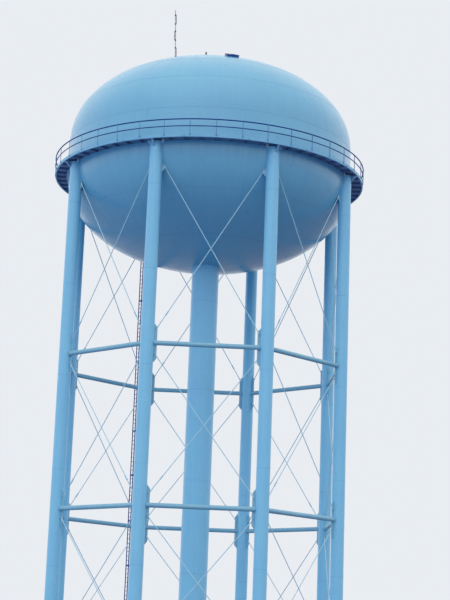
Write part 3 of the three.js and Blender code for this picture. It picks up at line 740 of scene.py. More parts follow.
def tank_paint_finish():
    """Gloss tank paint: faded in broad patches, with rain runs, grime along the seams, drip stains and
    painted shade in a band round the eave under the walkway, and wavy plates.
    """
    finish = Finish("tank_paint", (125, 190, 216))
    x, y, z = finish.x, finish.y, finish.z
    reach = finish.math("MAXIMUM", finish.math("SQRT", x * x + y * y), 0.4)
    runs = finish.noise(26.0, 5.0, 0.62, finish.vector(x / reach, y / reach, z * 0.012))
    finish.tint((131, 196, 220), finish.noise(0.32, 3.0), 0.35, 0.65)
    finish.tint((122, 180, 208), finish.noise(7.0, 6.0, 0.6), 0.42, 0.75, 0.0, 0.08)
    finish.tint((112, 164, 196), runs, 0.50, 0.78, 0.0, 0.16)
    finish.tint((160, 208, 224), runs, 0.24, 0.46, 0.16, 0.0)
    seams = [roof_height(radius) for radius in ROOF_RING_SEAMS] + [SHELL_SEAM_Z, EAVE_Z]
    seams += [bowl_point(angle)[1] for angle in BOWL_RING_SEAMS]
    finish.lay((92, 135, 168), finish.near(z, seams, 0.018) * 0.22)
    # Painted shade from the walkway's overhang, with drip stains: darker streaks in a band round the eave.
    eave_stain_and_shade = finish.near(z, [EAVE_Z - 0.1], 0.5)
    finish.lay((98, 128, 152), eave_stain_and_shade * finish.spread(runs, 0.42, 0.7, 0.0, 0.22))
    wavy = finish.bump(finish.noise(0.9, 2.0), 0.35, 0.05)
    peel = finish.bump(finish.noise(90.0, 3.0), 0.08, 0.002, wavy)
    rough = finish.spread(finish.noise(3.0, 5.0), 0.3, 0.7, 0.26, 0.38)
    return finish.end(rough, peel, Coat_Weight=0.28, Coat_Roughness=0.16)


def painted_steel(name, colours, streak=0.35, grain=0.24, seams=(), roughness=(0.34, 0.52), shine=0.5):
    """Painted steelwork: plain, faded and stained colours, rain runs down it and grime at its joints."""
    plain, faded, stained = colours
    finish = Finish(name, plain)
    finish.tint(faded, finish.noise(0.8, 3.0), 0.35, 0.65)
    finish.tint(stained, finish.noise(14.0, 6.0, 0.6), 0.45, 0.8, 0.0, grain)
    runs = finish.noise(1.0, 5.0, 0.6, finish.squeezed(14.0, 0.5))
    finish.tint(stained, runs, 0.48, 0.8, 0.0, streak)
    if seams:
        finish.lay(stained, finish.near(finish.z, seams, 0.02) * 0.45)
    wavy = finish.bump(finish.noise(2.0, 2.0), 0.12, 0.01)
    peel = finish.bump(finish.noise(120.0, 3.0), 0.10, 0.002, wavy)
    rough = finish.spread(finish.noise(5.0, 5.0), 0.3, 0.7, *roughness)
    finish.shader.inputs["Specular IOR Level"].default_value = shine
    return finish.end(rough, peel, Coat_Weight=0.4 * shine, Coat_Roughness=0.2)


def concrete_finish():
    """Cast concrete: cloudy grey, fine pores, board marks up its sides and a darker foot."""
    finish = Finish("concrete", (150, 147, 139))
    cloud = finish.noise(3.5, 6.0, 0.6)
    grain = finish.noise(60.0, 5.0, 0.7)
    pores = finish.out("ShaderNodeTexVoronoi", {"Vector": finish.place, "Scale": 55.0}, "Distance")
    finish.tint((182, 179, 170), cloud, 0.3, 0.7)
    finish.tint((120, 117, 110), grain, 0.45, 0.75, 0.0, 0.4)
    finish.tint((88, 86, 82), pores, 0.0, 0.12, 0.7, 0.0)
    finish.tint((104, 99, 88), finish.z, 0.0, 0.06, 0.5, 0.0)
    boards = finish.math("PINGPONG", finish.z, 0.025)
    marked = finish.bump(finish.spread(boards, 0.0, 0.0025), 0.25, 0.002)
    surface = finish.bump(grain * 0.6 + cloud * 0.4, 0.5, 0.006, marked)
    return finish.end(finish.spread(cloud, 0.3, 0.7, 0.82, 0.95), surface)


def mast_metal_finish():
    """Weathered aluminium: dull, slightly warm, finely brushed along its length."""
    finish = Finish("mast_metal", (178, 168, 184))
    brushed = finish.noise(1.0, 5.0, place=finish.squeezed(90.0, 4.0))
    oxide = finish.noise(9.0, 5.0)
    finish.tint((150, 140, 158), oxide, 0.35, 0.7)
    finish.tint((196, 188, 198), brushed, 0.4, 0.7, 0.0, 0.4)
    rough = finish.spread(oxide, 0.3, 0.7, 0.42, 0.62)
    return finish.end(rough, finish.bump(brushed, 0.15, 0.001), Metallic=0.55)


def lamp_finish():
    """The obstruction light's deep maroon glass, ribbed, with dust on it."""
    finish = Finish("lamp_glass", (88, 8, 82))
    dust = finish.noise(40.0, 5.0)
    finish.tint((100, 30, 92), dust, 0.45, 0.7, 0.0, 0.35)
    ribs = finish.math("PINGPONG", finish.z, 0.004)
    surface = finish.bump(finish.spread(ribs, 0.0, 0.004), 0.4, 0.002)
    return finish.end(finish.spread(dust, 0.3, 0.7, 0.12, 0.3), surface, Coat_Weight=0.1)


def screen_finish():
    """Fine dark insect screen behind the vent's bars."""
    finish = Finish("vent_screen", (26, 30, 36))
    meshes = [finish.math("PINGPONG", way, 0.003) for way in (finish.x + finish.y, finish.z)]
    wire = finish.math("MAXIMUM", *[finish.spread(mesh, 0.0, 0.001, 1.0, 0.0) for mesh in meshes])
    dust = finish.noise(30.0, 4.0)
    finish.lay((92, 98, 106), wire)
    finish.tint((78, 76, 72), dust, 0.5, 0.8, 0.0, 0.4)
    return finish.end(finish.spread(dust, 0.3, 0.7, 0.6, 0.85), finish.bump(wire, 0.4, 0.001))


def floor_finish():
    """The plain pale studio floor."""
    finish = Finish("studio_floor", (224, 228, 233))
    cloud = finish.noise(0.4, 4.0)
    finish.tint((230, 233, 237), cloud, 0.3, 0.7)
    return finish.end(finish.spread(cloud, 0.3, 0.7, 0.75, 0.85), finish.bump(cloud, 0.02, 0.01))


tank_paint = tank_paint_finish()
steel_paint = painted_steel(
    "steel_paint",
    [(141, 208, 235), (146, 212, 236), (118, 176, 212)],
    streak=0.2,
    seams=COLUMN_SEAMS,
    roughness=(0.28, 0.42),
)
bracing_paint = painted_steel("bracing_paint", [(140, 192, 210), (150, 199, 214), (112, 152, 172)])
walkway_paint = painted_steel(
    "walkway_paint",
    [(126, 190, 222), (133, 196, 224), (106, 148, 178)],
    streak=0.3,
    grain=0.3,
    roughness=(0.36, 0.54),
)
deck_paint = painted_steel("deck_paint", [(168, 182, 214), (176, 190, 218), (140, 154, 188)])
# Darker than the walkway paint: painted shade for the joists under the walkway.
joist_paint = painted_steel("joist_paint", [(114, 132, 172), (122, 140, 178), (94, 110, 148)])
post_paint = painted_steel("post_paint", [(96, 150, 200), (104, 158, 206), (72, 118, 168)])
# Near-white paint for the column lugs: a painted highlight.
shackle_paint = painted_steel("shackle_paint", [(248, 250, 252), (250, 252, 254), (220, 226, 232)])
# Much paler than the other steelwork: partly the rods' own pale paint, partly a painted highlight along
# the thin rods.
rod_paint = painted_steel("rod_paint", [(192, 224, 232), (202, 230, 236), (152, 184, 198)])
rail_paint = painted_steel(
    "rail_paint",
    [(8, 66, 140), (14, 74, 148), (6, 44, 100)],
    streak=0.2,
    shine=0.15,
)
# Darker than the tank paint: painted shade on the roof hatch.
hatch_paint = painted_steel(
    "hatch_paint",
    [(58, 92, 156), (68, 104, 166), (42, 68, 120)],
    grain=0.4,
    shine=0.2,
)
dipole_paint = painted_steel("dipole_paint", [(84, 56, 98), (94, 66, 108), (60, 42, 72)], shine=0.25)
beacon_paint = painted_steel("beacon_paint", [(84, 14, 84), (92, 24, 90), (62, 12, 62)], shine=0.15)
fastener_paint = painted_steel(
    "fastener_paint",
    [(122, 172, 200), (132, 180, 205), (110, 106, 104)],
    streak=0.5,
    grain=0.6,
)
concrete = concrete_finish()
mast_metal = mast_metal_finish()
lamp_glass = lamp_finish()
vent_screen = screen_finish()


# Meshes made in code

def plain_mesh(shape, place=None):
    mesh = bpy.data.meshes.new("part")
    shape.to_mesh(mesh)
    shape.free()
    return placed(mesh, place)


def placed(mesh, place):
    if place is not None:
        mesh.transform(place)
    return mesh


def block(size, centre=(0, 0, 0), bevel=0.0, place=None):
    """A block with its edges eased."""
    shape = bmesh.new()
    bmesh.ops.create_cube(shape, size=1.0)
    bmesh.ops.scale(shape, vec=size, verts=shape.verts)
    if bevel:
        edges = shape.edges[:]
        bmesh.ops.bevel(shape, geom=edges, offset=bevel, segments=2, affect="EDGES", profile=0.5)
    bmesh.ops.translate(shape, vec=centre, verts=shape.verts)
    return plain_mesh(shape, place)


def flat_plate(outline, thickness, axis, at=0.0, bevel=0.0015):
    """A plate with its outline in the plane across X or Y, centred at a place along that axis."""
    shape = bmesh.new()
    near = at - thickness / 2
    step = Vector((thickness, 0, 0)) if axis == "X" else Vector((0, thickness, 0))
    corners = [(near, a, b) if axis == "X" else (a, near, b) for a, b in outline]
    face = shape.faces.new([shape.verts.new(corner) for corner in corners])
    grown = bmesh.ops.extrude_face_region(shape, geom=[face])["geom"]
    far = [item for item in grown if isinstance(item, bmesh.types.BMVert)]
    bmesh.ops.translate(shape, vec=step, verts=far)
    bmesh.ops.recalc_face_normals(shape, faces=shape.faces)
    edges = shape.edges[:]
    bmesh.ops.bevel(shape, geom=edges, offset=bevel, segments=1, affect="EDGES", profile=0.5)
    return plain_mesh(shape)


def round_bar(start, end, radius, sides=16, place=None):
    """A round bar between two points."""
    start, end = Vector(start), Vector(end)
    turn = (end - start).to_track_quat("Z", "Y").to_matrix().to_4x4()
    matrix = Matrix.Translation((start + end) / 2) @ turn
    size = {"radius1": radius, "radius2": radius, "depth": (end - start).length}
    shape = bmesh.new()
    bmesh.ops.create_cone(shape, cap_ends=True, segments=sides, matrix=matrix, **size)
    return plain_mesh(shape, place)


def flat_bar(start, end, width, thickness, across):
    """A flat bar between two points, its width along the direction across."""
    start, end = Vector(start), Vector(end)
    along = (end - start).normalized()
    across = Vector(across)
    across = (across - along * across.dot(along)).normalized()
    matrix = Matrix((across, along.cross(across), along)).transposed().to_4x4()
    matrix.translation = (start + end) / 2
    return block((width, thickness, (end - start).length), bevel=thickness * 0.2, place=matrix)


def turned(profile, segments=64, place=None, closed=False):
    """A profile of (radius, height) turned about Z. It ends on the axis, or closes on itself."""
    shape = bmesh.new()
    rings = []
    for radius, z in profile:
        if radius < 1e-6:
            rings.append([shape.verts.new((0, 0, z))] * segments)
        else:
            spots = [on_ring(radius, 360.0 * index / segments, z) for index in range(segments)]
            rings.append([shape.verts.new(spot) for spot in spots])
    pairs = list(zip(rings, rings[1:]))
    if closed:
        pairs.append((rings[-1], rings[0]))
    for low, high in pairs:
        for index in range(segments):
            after = (index + 1) % segments
            corners = dict.fromkeys([low[index], low[after], high[after], high[index]])
            if len(corners) > 2:
                shape.faces.new(corners)
    bmesh.ops.recalc_face_normals(shape, faces=shape.faces)
    return plain_mesh(shape, place)


def square_turned(profile, place, closed=False):
    """As turned, with four sides, so that a radius is half a side."""
    diagonal = [(radius * math.sqrt(2), z) for radius, z in profile]
    return turned(diagonal, 4, place @ turned_to(45), closed)


def joined(meshes):
    """One mesh from several, which keep their materials. A cut face takes its mesh's own."""
    shape = bmesh.new()
    materials = []
    for mesh in meshes:
        first = len(shape.faces)
        shape.from_mesh(mesh)
        shape.faces.ensure_lookup_table()
        own = list(mesh.materials)
        for material in own:
            if material and material not in materials:
                materials.append(material)
        for face in shape.faces[first:]:
            if own:
                face.material_index = materials.index(own[face.material_index] or own[-1])
        bpy.data.meshes.remove(mesh)
    whole = plain_mesh(shape)
    for material in materials:
        whole.materials.append(material)
    return whole


def painted(material, *meshes):
    whole = joined(meshes)
    whole.materials.append(material)
    return whole


def around(mesh, azimuths):
    """Copies of what is built at azimuth 0, turned to each azimuth."""
    copies = [placed(mesh.copy(), turned_to(azimuth)) for azimuth in azimuths]
    bpy.data.meshes.remove(mesh)
    return joined(copies)


def thickened(mesh, thickness):
    """A plate with its thickness given inwards."""
    worker = new_object("worker", mesh)
    wall = worker.modifiers.new("wall", "SOLIDIFY")
    wall.thickness = thickness
    wall.offset = -1.0
    return evaluated(worker)


def cut_by(mesh, tool):
    worker = new_object("worker", mesh)
    cutter = new_object("cutter", tool)
    hole = worker.modifiers.new("hole", "BOOLEAN")
    hole.object = cutter
    hole.operation = "DIFFERENCE"
    hole.solver = "EXACT"
    result = evaluated(worker)
    bpy.data.objects.remove(cutter)
    return result


def nuts(material, places, facings, radius, height):
    values = [value for facing in facings for value in facing]
    points = marks(places, "facing", "FLOAT_VECTOR", "vector", values)
    return bolts.make(material, points, nut_radius=radius, nut_height=height)


def nut_ring(material, circle_radius, count, z, radius, height):
    """Nuts that face up, evenly spaced on a circle. The first is half a space from the front."""
    places = [on_ring(circle_radius, 360.0 * (index + 0.5) / count, z) for index in range(count)]
    return nuts(material, places, [Z_AXIS] * count, radius, height)


def beads(material, runs, radius=RING_BEAD, closed=False, sides=6):
    return round_bars.make(material, lines(runs, closed), bar_radius=radius, sides=sides)


def piece(name, parts, replaces, body="tower"):
    """One finished object, riding on its body and standing for its CAD nodes."""
    mesh = joined(parts)
    mesh.name = name
    mesh.shade_smooth()
    mesh.set_sharp_from_angle(angle=CREASE)
    made = new_object(name, mesh)
    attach(made, body)
    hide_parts(*replaces)


def sleeve(inner, outer, low, high):
    """The profile of a band round an axis."""
    return [(inner, low), (outer, low), (outer, high), (inner, high)]


def numbered(stem):
    return [f"{stem}_{number}" for number in range(1, 9)]


# The tank

def plate_seams(point, zones):
    """The upright seams of a turned wall: from zones of (low angle, high angle, count, first azimuth)."""
    runs = []
    for low, high, count, first in zones:
        steps = [point(low + (high - low) * step / 8) for step in range(9)]
        for index in range(count):
            azimuth = first + 360.0 * index / count
            runs.append([on_ring(radius, azimuth, z) for radius, z in steps])
    return beads(tank_paint, runs, PLATE_BEAD)


def add_plates(name, wall, rings, point, zones, nodes):
    """One part of the tank, with its ring seams and its upright seams."""
    ring_seams = beads(tank_paint, [circle(*ring) for ring in rings], closed=True)
    piece(name, [wall, ring_seams, plate_seams(point, zones)], nodes)


def add_roof():
    side = 2 * (HATCH_HALF - HATCH_WALL)
    opening = block((side, side, side), place=hatch_place())
    roof = turned_plates.make(tank_paint, power=2 / ROOF_FULLNESS, rings=44)
    wall = cut_by(thickened(roof, PLATE), opening)
    rings = [(radius, roof_height(radius)) for radius in ROOF_RING_SEAMS]
    outer, middle, inner = [roof_angle(radius) for radius in ROOF_RING_SEAMS]
    zones = [(0, outer, 16, 4.0), (outer, middle, 16, 15.25), (middle, inner, 12, 24.5)]
    nodes = ["roof_crown", "roof_hatch_plate", "roof_plate_1", "roof_plate_2", "roof_plate_3"]
    add_plates("roof_plates", wall, rings, roof_point, zones, nodes)


def add_shell():
    # With the power 0 the radius stays the same. The sine runs from -0.5 to 0.5, which spans the rise.
    size = {"rise": ROOF_Z - EAVE_Z, "base_height": (ROOF_Z + EAVE_Z) / 2, "rings": 6}
    span = {"first_angle": -math.pi / 6, "last_angle": math.pi / 6}
    wall = thickened(turned_plates.make(tank_paint, power=0.0, **size, **span), PLATE)
    rings = [(TANK_RADIUS, SHELL_SEAM_Z), (TANK_RADIUS, EAVE_Z)]
    zones = [(FLOOR_TOP, SHELL_SEAM_Z, 8, 11.25), (SHELL_SEAM_Z, ROOF_Z, 16, 4.0)]
    add_plates("shell_plates", wall, rings, lambda z: (TANK_RADIUS, z), zones, ["tank_shell"])


def add_bowl():
    size = {"rise": BOWL_DEPTH, "base_height": EAVE_Z, "rings": 36}
    span = {"first_angle": -math.acos(BOWL_HOLE / TANK_RADIUS), "last_angle": 0.0}
    wall = thickened(turned_plates.make(tank_paint, **size, **span), PLATE)
    rings = [bowl_point(angle) for angle in BOWL_RING_SEAMS]
    upper, lower = BOWL_RING_SEAMS
    zones = [(1.0, upper, 16, 11.25), (upper, lower, 16, 0.0), (lower, 84.0, 8, 11.25)]
    add_plates("bowl_plates", wall, rings, bowl_point, zones, ["bowl_left", "bowl_right"])


# Riser and overflow pipe

def add_riser():
    inner = RISER_RADIUS - RISER_WALL
    top = bowl_height(RISER_RADIUS) + 0.004
    low = PIER_HEIGHT
    wall = [(RISER_RADIUS, low), (RISER_RADIUS, top), (inner, top), (inner, low)]
    flange = [(inner, low), (RISER_FLANGE, low), (RISER_FLANGE, low + 0.022)]
    flange += [(RISER_FLANGE - 0.003, low + 0.025), (inner, low + 0.025)]
    proud = RISER_RADIUS + 0.0125
    collar = [(RISER_RADIUS, top - 0.14), (proud, top - 0.137), (proud, top), (RISER_RADIUS, top)]
    rib = [(-0.455, 0.174), (-0.455, 0.30), (-0.47, 0.30), (-0.585, 0.20), (-0.585, 0.174)]
    ribs = around(flat_plate(rib, 0.012, "X"), [30.0 * index for index in range(12)])
    steel = [turned(profile, 64, closed=True) for profile in (wall, flange, collar)]
    seams = [circle(RISER_RADIUS, z, 64) for z in [low + 0.029] + COLUMN_SEAMS[:4]]
    anchors = nut_ring(fastener_paint, 0.545, 12, low + 0.025, 0.018, 0.016)
    parts = [painted(steel_paint, ribs, *steel), beads(steel_paint, seams, 0.004, True), anchors]
    piece("riser_pipe", parts, ["riser"])
    side = RISER_PIER_RADIUS
    footing = [(0, 0), (side, 0), (side, low - 0.012), (side - 0.012, low), (0, low)]
    piece("riser_footing", [painted(concrete, turned(footing))], ["riser_pier"])


def add_overflow():
    """The pipe beside the riser: a band at its foot and at each bracket, and flanged joints between."""
    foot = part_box("overflow_pipe")[0][2]
    top = bowl_height(OVERFLOW_Y) + 0.012
    shift = moved_by(0, OVERFLOW_Y, 0)
    bands = [(foot, foot + 0.03, 0.008)]
    steel = [round_bar((0, 0, foot), (0, 0, top), OVERFLOW_RADIUS, 32, shift)]
    for z in OVERFLOW_BRACKETS:
        bands.append((z - 0.02, z + 0.02, 0.005))
        if z < OVERFLOW_BRACKETS[-1]:
            bands += [(z + 1.14, z + 1.155, 0.02), (z + 1.157, z + 1.172, 0.02)]
        steel += [block((0.01, 0.15, 0.036), (side, 0.5175, z), 0.002) for side in (-0.045, 0.045)]
    for low, high, proud in bands:
        band = sleeve(OVERFLOW_RADIUS - 0.002, OVERFLOW_RADIUS + proud, low, high)
        steel.append(turned(band, 32, shift, True))
    weld = beads(steel_paint, [circle(OVERFLOW_RADIUS, top - 0.008, 32, OVERFLOW_Y)], 0.006, True)
    piece("overflow_run", [painted(steel_paint, *steel), weld], ["overflow_pipe"])


# Columns with their feet, knees and lugs, and the concrete under them

def column_foot():
    """Base plate, ribs, welds and anchor nuts about the column's own axis, with its ring seams."""
    size = (BASE_PLATE_SIDE, BASE_PLATE_SIDE, BASE_PLATE_TOP - PIER_HEIGHT)
    base = block(size, (0, 0, (PIER_HEIGHT + BASE_PLATE_TOP) / 2), 0.003)
    rib = [(-0.205, 0.174), (-0.205, 0.36), (-0.222, 0.36), (-0.278, 0.205), (-0.278, 0.174)]
    ribs = around(flat_plate(rib, 0.012, "X"), [0.0, 90.0, 180.0, 270.0])
    foot_weld = beads(steel_paint, [circle(COLUMN_RADIUS, BASE_PLATE_TOP, 48)], 0.006, True)
    seams = beads(steel_paint, [circle(COLUMN_RADIUS, z, 48) for z in COLUMN_SEAMS], 0.003, True)
    reach = BASE_PLATE_SIDE / 2 - 0.045
    corners = [Vector((x, y, BASE_PLATE_TOP)) for x in (-reach, reach) for y in (-reach, reach)]
    anchors = nuts(fastener_paint, corners, [Z_AXIS] * 4, 0.021, 0.019)
    return joined([painted(steel_paint, base, ribs), foot_weld, seams, anchors])


def column_knee():
    """The angle brace from a column's outer face up to the walkway's rim."""
    root = COLUMN_CIRCLE + COLUMN_RADIUS - 0.02
    low, thick = EAVE_Z - KNEE_DROP, 0.008
    outline = [(-root, low + KNEE_BAR), (-root, low)]
    outline += [(-KNEE_REACH, EAVE_Z), (KNEE_BAR - KNEE_REACH, EAVE_Z)]
    web = flat_plate(outline, thick, "X", (thick - KNEE_BAR) / 2)
    start, end = (0, -root, low + thick / 2), (0, thick - KNEE_REACH, EAVE_Z - thick / 2)
    return painted(steel_paint, web, flat_bar(start, end, KNEE_BAR, thick, (1, 0, 0)))


def column_lugs():
    """The small lugs on both sides of a column's head, just under the walkway's floor. Their near-white
    paint is a painted highlight.
    """
    outline = [(0.2, 16.45), (0.262, 16.48), (0.292, 16.535), (0.285, 16.572), (0.2, 16.584)]
    sides = [[(side * x, z) for x, z in outline] for side in (-1, 1)]
    return painted(shackle_paint, *[flat_plate(side, 0.03, "Y", -COLUMN_CIRCLE - 0.05) for side in sides])


def add_columns():
    foot = placed(column_foot(), moved_by(0, -COLUMN_CIRCLE, 0))
    fittings = around(joined([foot, column_knee(), column_lugs()]), COLUMN_AZIMUTHS)
    piece("leg_columns", [columns.make(steel_paint), fittings], numbered("column"))
    size = (PIER_SIDE, PIER_SIDE, PIER_HEIGHT)
    footing = painted(concrete, block(size, (0, -COLUMN_CIRCLE, PIER_HEIGHT / 2), 0.012))
    piece("leg_footings", [around(footing, COLUMN_AZIMUTHS)], numbered("pier"))


# Bracing

def rod_ends():
    """The upper and lower end of each tie rod on one side of the tower."""
    share = (HALF_BAY - ROD_END) / (2 * HALF_BAY)
    ends = []
    for top, bottom in zip(BRACE_LEVELS, BRACE_LEVELS[1:]):
        drop = share * (top - bottom)
        for side in (-1, 1):
            plane = -ROD_PLANE + side * ROD_RADIUS
            start = Vector((side * ROD_END, plane, top - drop))
            ends.append((start, Vector((-side * ROD_END, plane, bottom + drop))))
    return ends


def add_bracing():
    # The rods' pale paint is partly a painted highlight.
    rods = tie_rods.make(rod_paint, lines(rod_ends()))
    shoulder = GUSSET_EDGE + 0.05
    steel = []
    for low, high in GUSSETS:
        outline = [
            (GUSSET_ROOT, low),
            (GUSSET_ROOT, high),
            (shoulder, high - 0.6 * GUSSET_TAPER),
            (GUSSET_EDGE, high - GUSSET_TAPER),
            (GUSSET_EDGE, low + GUSSET_TAPER),
            (shoulder, low + 0.6 * GUSSET_TAPER),
        ]
        for side in (-1, 1):
            steel.append(flat_plate([(side * x, z) for x, z in outline], 0.014, "Y", -ROD_PLANE))
    strut_end = HALF_BAY - 0.15
    face = HALF_BAY - COLUMN_RADIUS
    for z in STRUT_LEVELS:
        spans = [(-strut_end, strut_end, STRUT_RADIUS)]
        spans += [(side * (face + 0.004), side * (face - 0.02), STRUT_RADIUS + 0.014) for side in (-1, 1)]
        for start, end, radius in spans:
            steel.append(round_bar((start, -STRUT_PLANE, z), (end, -STRUT_PLANE, z), radius, 32))
    places = []
    facings = []
    for start, end in rod_ends():
        way = (end - start).normalized() * 0.035
        for point in (start + way, end - way):
            for front in (-1, 1):
                facings.append(Vector((0, front, 0)))
                places.append(point + facings[-1] * ROD_RADIUS * 1.7)
    pins = nuts(fastener_paint, places, facings, 0.014, 0.010)
    side_of_tower = joined([rods, painted(bracing_paint, *steel), pins])
    piece("sway_bracing", [around(side_of_tower, SIDE_AZIMUTHS)], numbered("bracing"))


# Walkway and handrail

def add_walkway():
    outer, web = WALKWAY_RADIUS, WALKWAY_RADIUS - 0.008
    low, high = EAVE_Z, FLOOR_TOP
    channel = [(outer, low + 0.002), (outer, high - 0.002), (outer - 0.002, high), (web - 0.042, high)]
    channel += [(web - 0.042, high - 0.009), (web, high - 0.012), (web, low + 0.012)]
    channel += [(web - 0.042, low + 0.009), (web - 0.042, low), (outer - 0.002, low)]
    shell = TANK_RADIUS + 0.001
    ledger = [(shell, low), (shell + 0.054, low), (shell + 0.054, low + 0.009)]
    ledger += [(shell + 0.009, low + 0.012), (shell + 0.009, high - 0.012), (shell, high - 0.012)]
    rings = [turned(profile, TANK_SEGMENTS, closed=True) for profile in (channel, ledger)]

    turn = turned_to(LEG_LADDER_AZIMUTH)
    hole_x = sum(LADDER_HOLE_X) / 2
    hole_y = -sum(LADDER_HOLE_RADII) / 2
    hole_width = LADDER_HOLE_X[1] - LADDER_HOLE_X[0]
    hole_depth = LADDER_HOLE_RADII[1] - LADDER_HOLE_RADII[0]
    opening = block((hole_width, hole_depth, 0.2), (hole_x, hole_y, high), place=turn)
    floor = cut_by(floor_panels.make(deck_paint), opening)
    kept = [azimuth for azimuth in JOIST_AZIMUTHS if azimuth != LADDER_HOLE_JOIST]
    # The joists' darker paint is painted shade.
    ribs = walkway_joists.make(joist_paint, turn_marks(kept))
    near, far = shell + 0.009, outer - 0.0125
    rise = high - low - 0.015
    trimmers = []
    for x in (LADDER_HOLE_X[0] - 0.008, LADDER_HOLE_X[1] + 0.008):
        centre = (x, -(near + far) / 2, low + 0.003 + rise / 2)
        trimmers.append(block((0.009, far - near, rise), centre, 0.001, turn))
    for radius in (LADDER_HOLE_RADII[0] - 0.006, LADDER_HOLE_RADII[1] + 0.006):
        size = (hole_width + 0.02, 0.009, 0.06)
        trimmers.append(block(size, (hole_x, -radius, high - 0.045), 0.001, turn))

    middle = (low + high) / 2
    splice = painted(walkway_paint, block((0.11, 0.006, 0.07), (0, -outer - 0.001, middle), 0.001))
    places = [Vector((x, -outer - 0.004, middle + z)) for x in (-0.035, 0.035) for z in (-0.018, 0.018)]
    splice_bolts = nuts(fastener_paint, places, [Vector((0, -1, 0))] * 4, 0.008, 0.006)
    splices = around(joined([splice, splice_bolts]), SPLICE_AZIMUTHS)
    parts = [painted(walkway_paint, *rings, *trimmers), floor, ribs, splices]
    piece("walkway_deck", parts, numbered("walkway"))


def add_handrail():
    rails = []
    for radius, z in ((TOP_RAIL_RADIUS, TOP_RAIL_Z), (MIDDLE_RAIL_RADIUS, MIDDLE_RAIL_Z)):
        rails.append(beads(rail_paint, [circle(RAIL_CIRCLE, z)], radius, True, 16))
        sleeves = [
            [on_ring(RAIL_CIRCLE, azimuth + step, z) for step in (-0.6, 0.0, 0.6)]
            for azimuth in SPLICE_AZIMUTHS[::2]
        ]
        rails.append(beads(rail_paint, sleeves, radius + 0.0015, False, 16))
    uprights = handrail_posts.make(post_paint, turn_marks(POST_AZIMUTHS))
    pairs = [(azimuth, azimuth + side) for azimuth in POST_AZIMUTHS for side in (-0.21, 0.21)]
    places = [on_ring(WALKWAY_RADIUS + 0.005, azimuth, POST_FOOT + POST_PLATE / 2) for _, azimuth in pairs]
    facings = [on_ring(1.0, azimuth) for azimuth, _ in pairs]
    foot_bolts = nuts(post_paint, places, facings, 0.005, 0.004)
    piece("handrail", rails + [uprights, foot_bolts], numbered("railing"))


# Ladders

def add_leg_ladder():
    rise = (LEG_LADDER_HIGH - LEG_LADDER_LOW) / 4
    rails = ladder.make(rail_paint, lines([[(0, 0, LEG_LADDER_LOW + rise * step) for step in range(5)]]))
    placed(rails, moved_by(LEG_LADDER_TANGENT, -LEG_LADDER_RADIUS, 0) @ turned_to(90.0))
    inner = -LEG_LADDER_RADIUS + LADDER_WIDTH / 2
    outer = -LEG_LADDER_RADIUS - LADDER_WIDTH / 2
    brackets = []
    for z in LEG_LADDER_BRACKETS:
        for start, end in (((0.16, inner), inner), ((0.10, -5.05), outer)):
            brackets.append(flat_bar((*start, z), (LEG_LADDER_TANGENT, end, z), 0.045, 0.008, Z_AXIS))
    whole = placed(joined([rails, painted(rail_paint, *brackets)]), turned_to(LEG_LADDER_AZIMUTH))
    piece("leg_ladder_run", [whole], ["leg_ladder"])


def add_roof_ladder():
    start = TANK_RADIUS + ROOF_LADDER_STANDOFF
    rise = (ROOF_Z - FLOOR_TOP) / 4
    path = [(0, -start, FLOOR_TOP + 0.002 + rise * step) for step in range(4)]
    for angle in range(0, 85, 3):
        radius, z = roof_point(angle, ROOF_LADDER_STANDOFF)
        path.append((0, -radius, z))
    straps = []
    for angle in ROOF_LADDER_BRACKETS:
        tip, foot = roof_point(angle, ROOF_LADDER_STANDOFF), roof_point(angle, -0.002)
        normal = roof_normal(angle)
        outward = Vector((0, -normal.x, normal.y))
        for x in (-LADDER_WIDTH / 2, LADDER_WIDTH / 2):
            base = Vector((x, -foot[0], foot[1]))
            straps.append(flat_bar(base, (x, -tip[0], tip[1]), 0.03, 0.008, (0, normal.y, normal.x)))
            pad = Matrix.Translation(base) @ outward.to_track_quat("Z", "X").to_matrix().to_4x4()
            straps.append(block((0.06, 0.06, 0.008), (0, 0, 0.005), 0.0015, pad))
    whole = joined([ladder.make(rail_paint, lines([path])), painted(rail_paint, *straps)])
    piece("roof_ladder_run", [placed(whole, turned_to(ROOF_LADDER_AZIMUTH))], ["roof_ladder"])


# Roof hatch

def rounded_run(corners, radius, steps=4):
    """A line through corners, each turned into a short curve."""
    corners = [Vector(corner) for corner in corners]
    run = [corners[0]]
    for before, corner, after in zip(corners, corners[1:], corners[2:]):
        start = corner + (before - corner).normalized() * radius
        end = corner + (after - corner).normalized() * radius
        for step in range(steps + 1):
            share = step / steps
            run.append(start.lerp(corner, share).lerp(corner.lerp(end, share), share))
    return run + [corners[-1]]


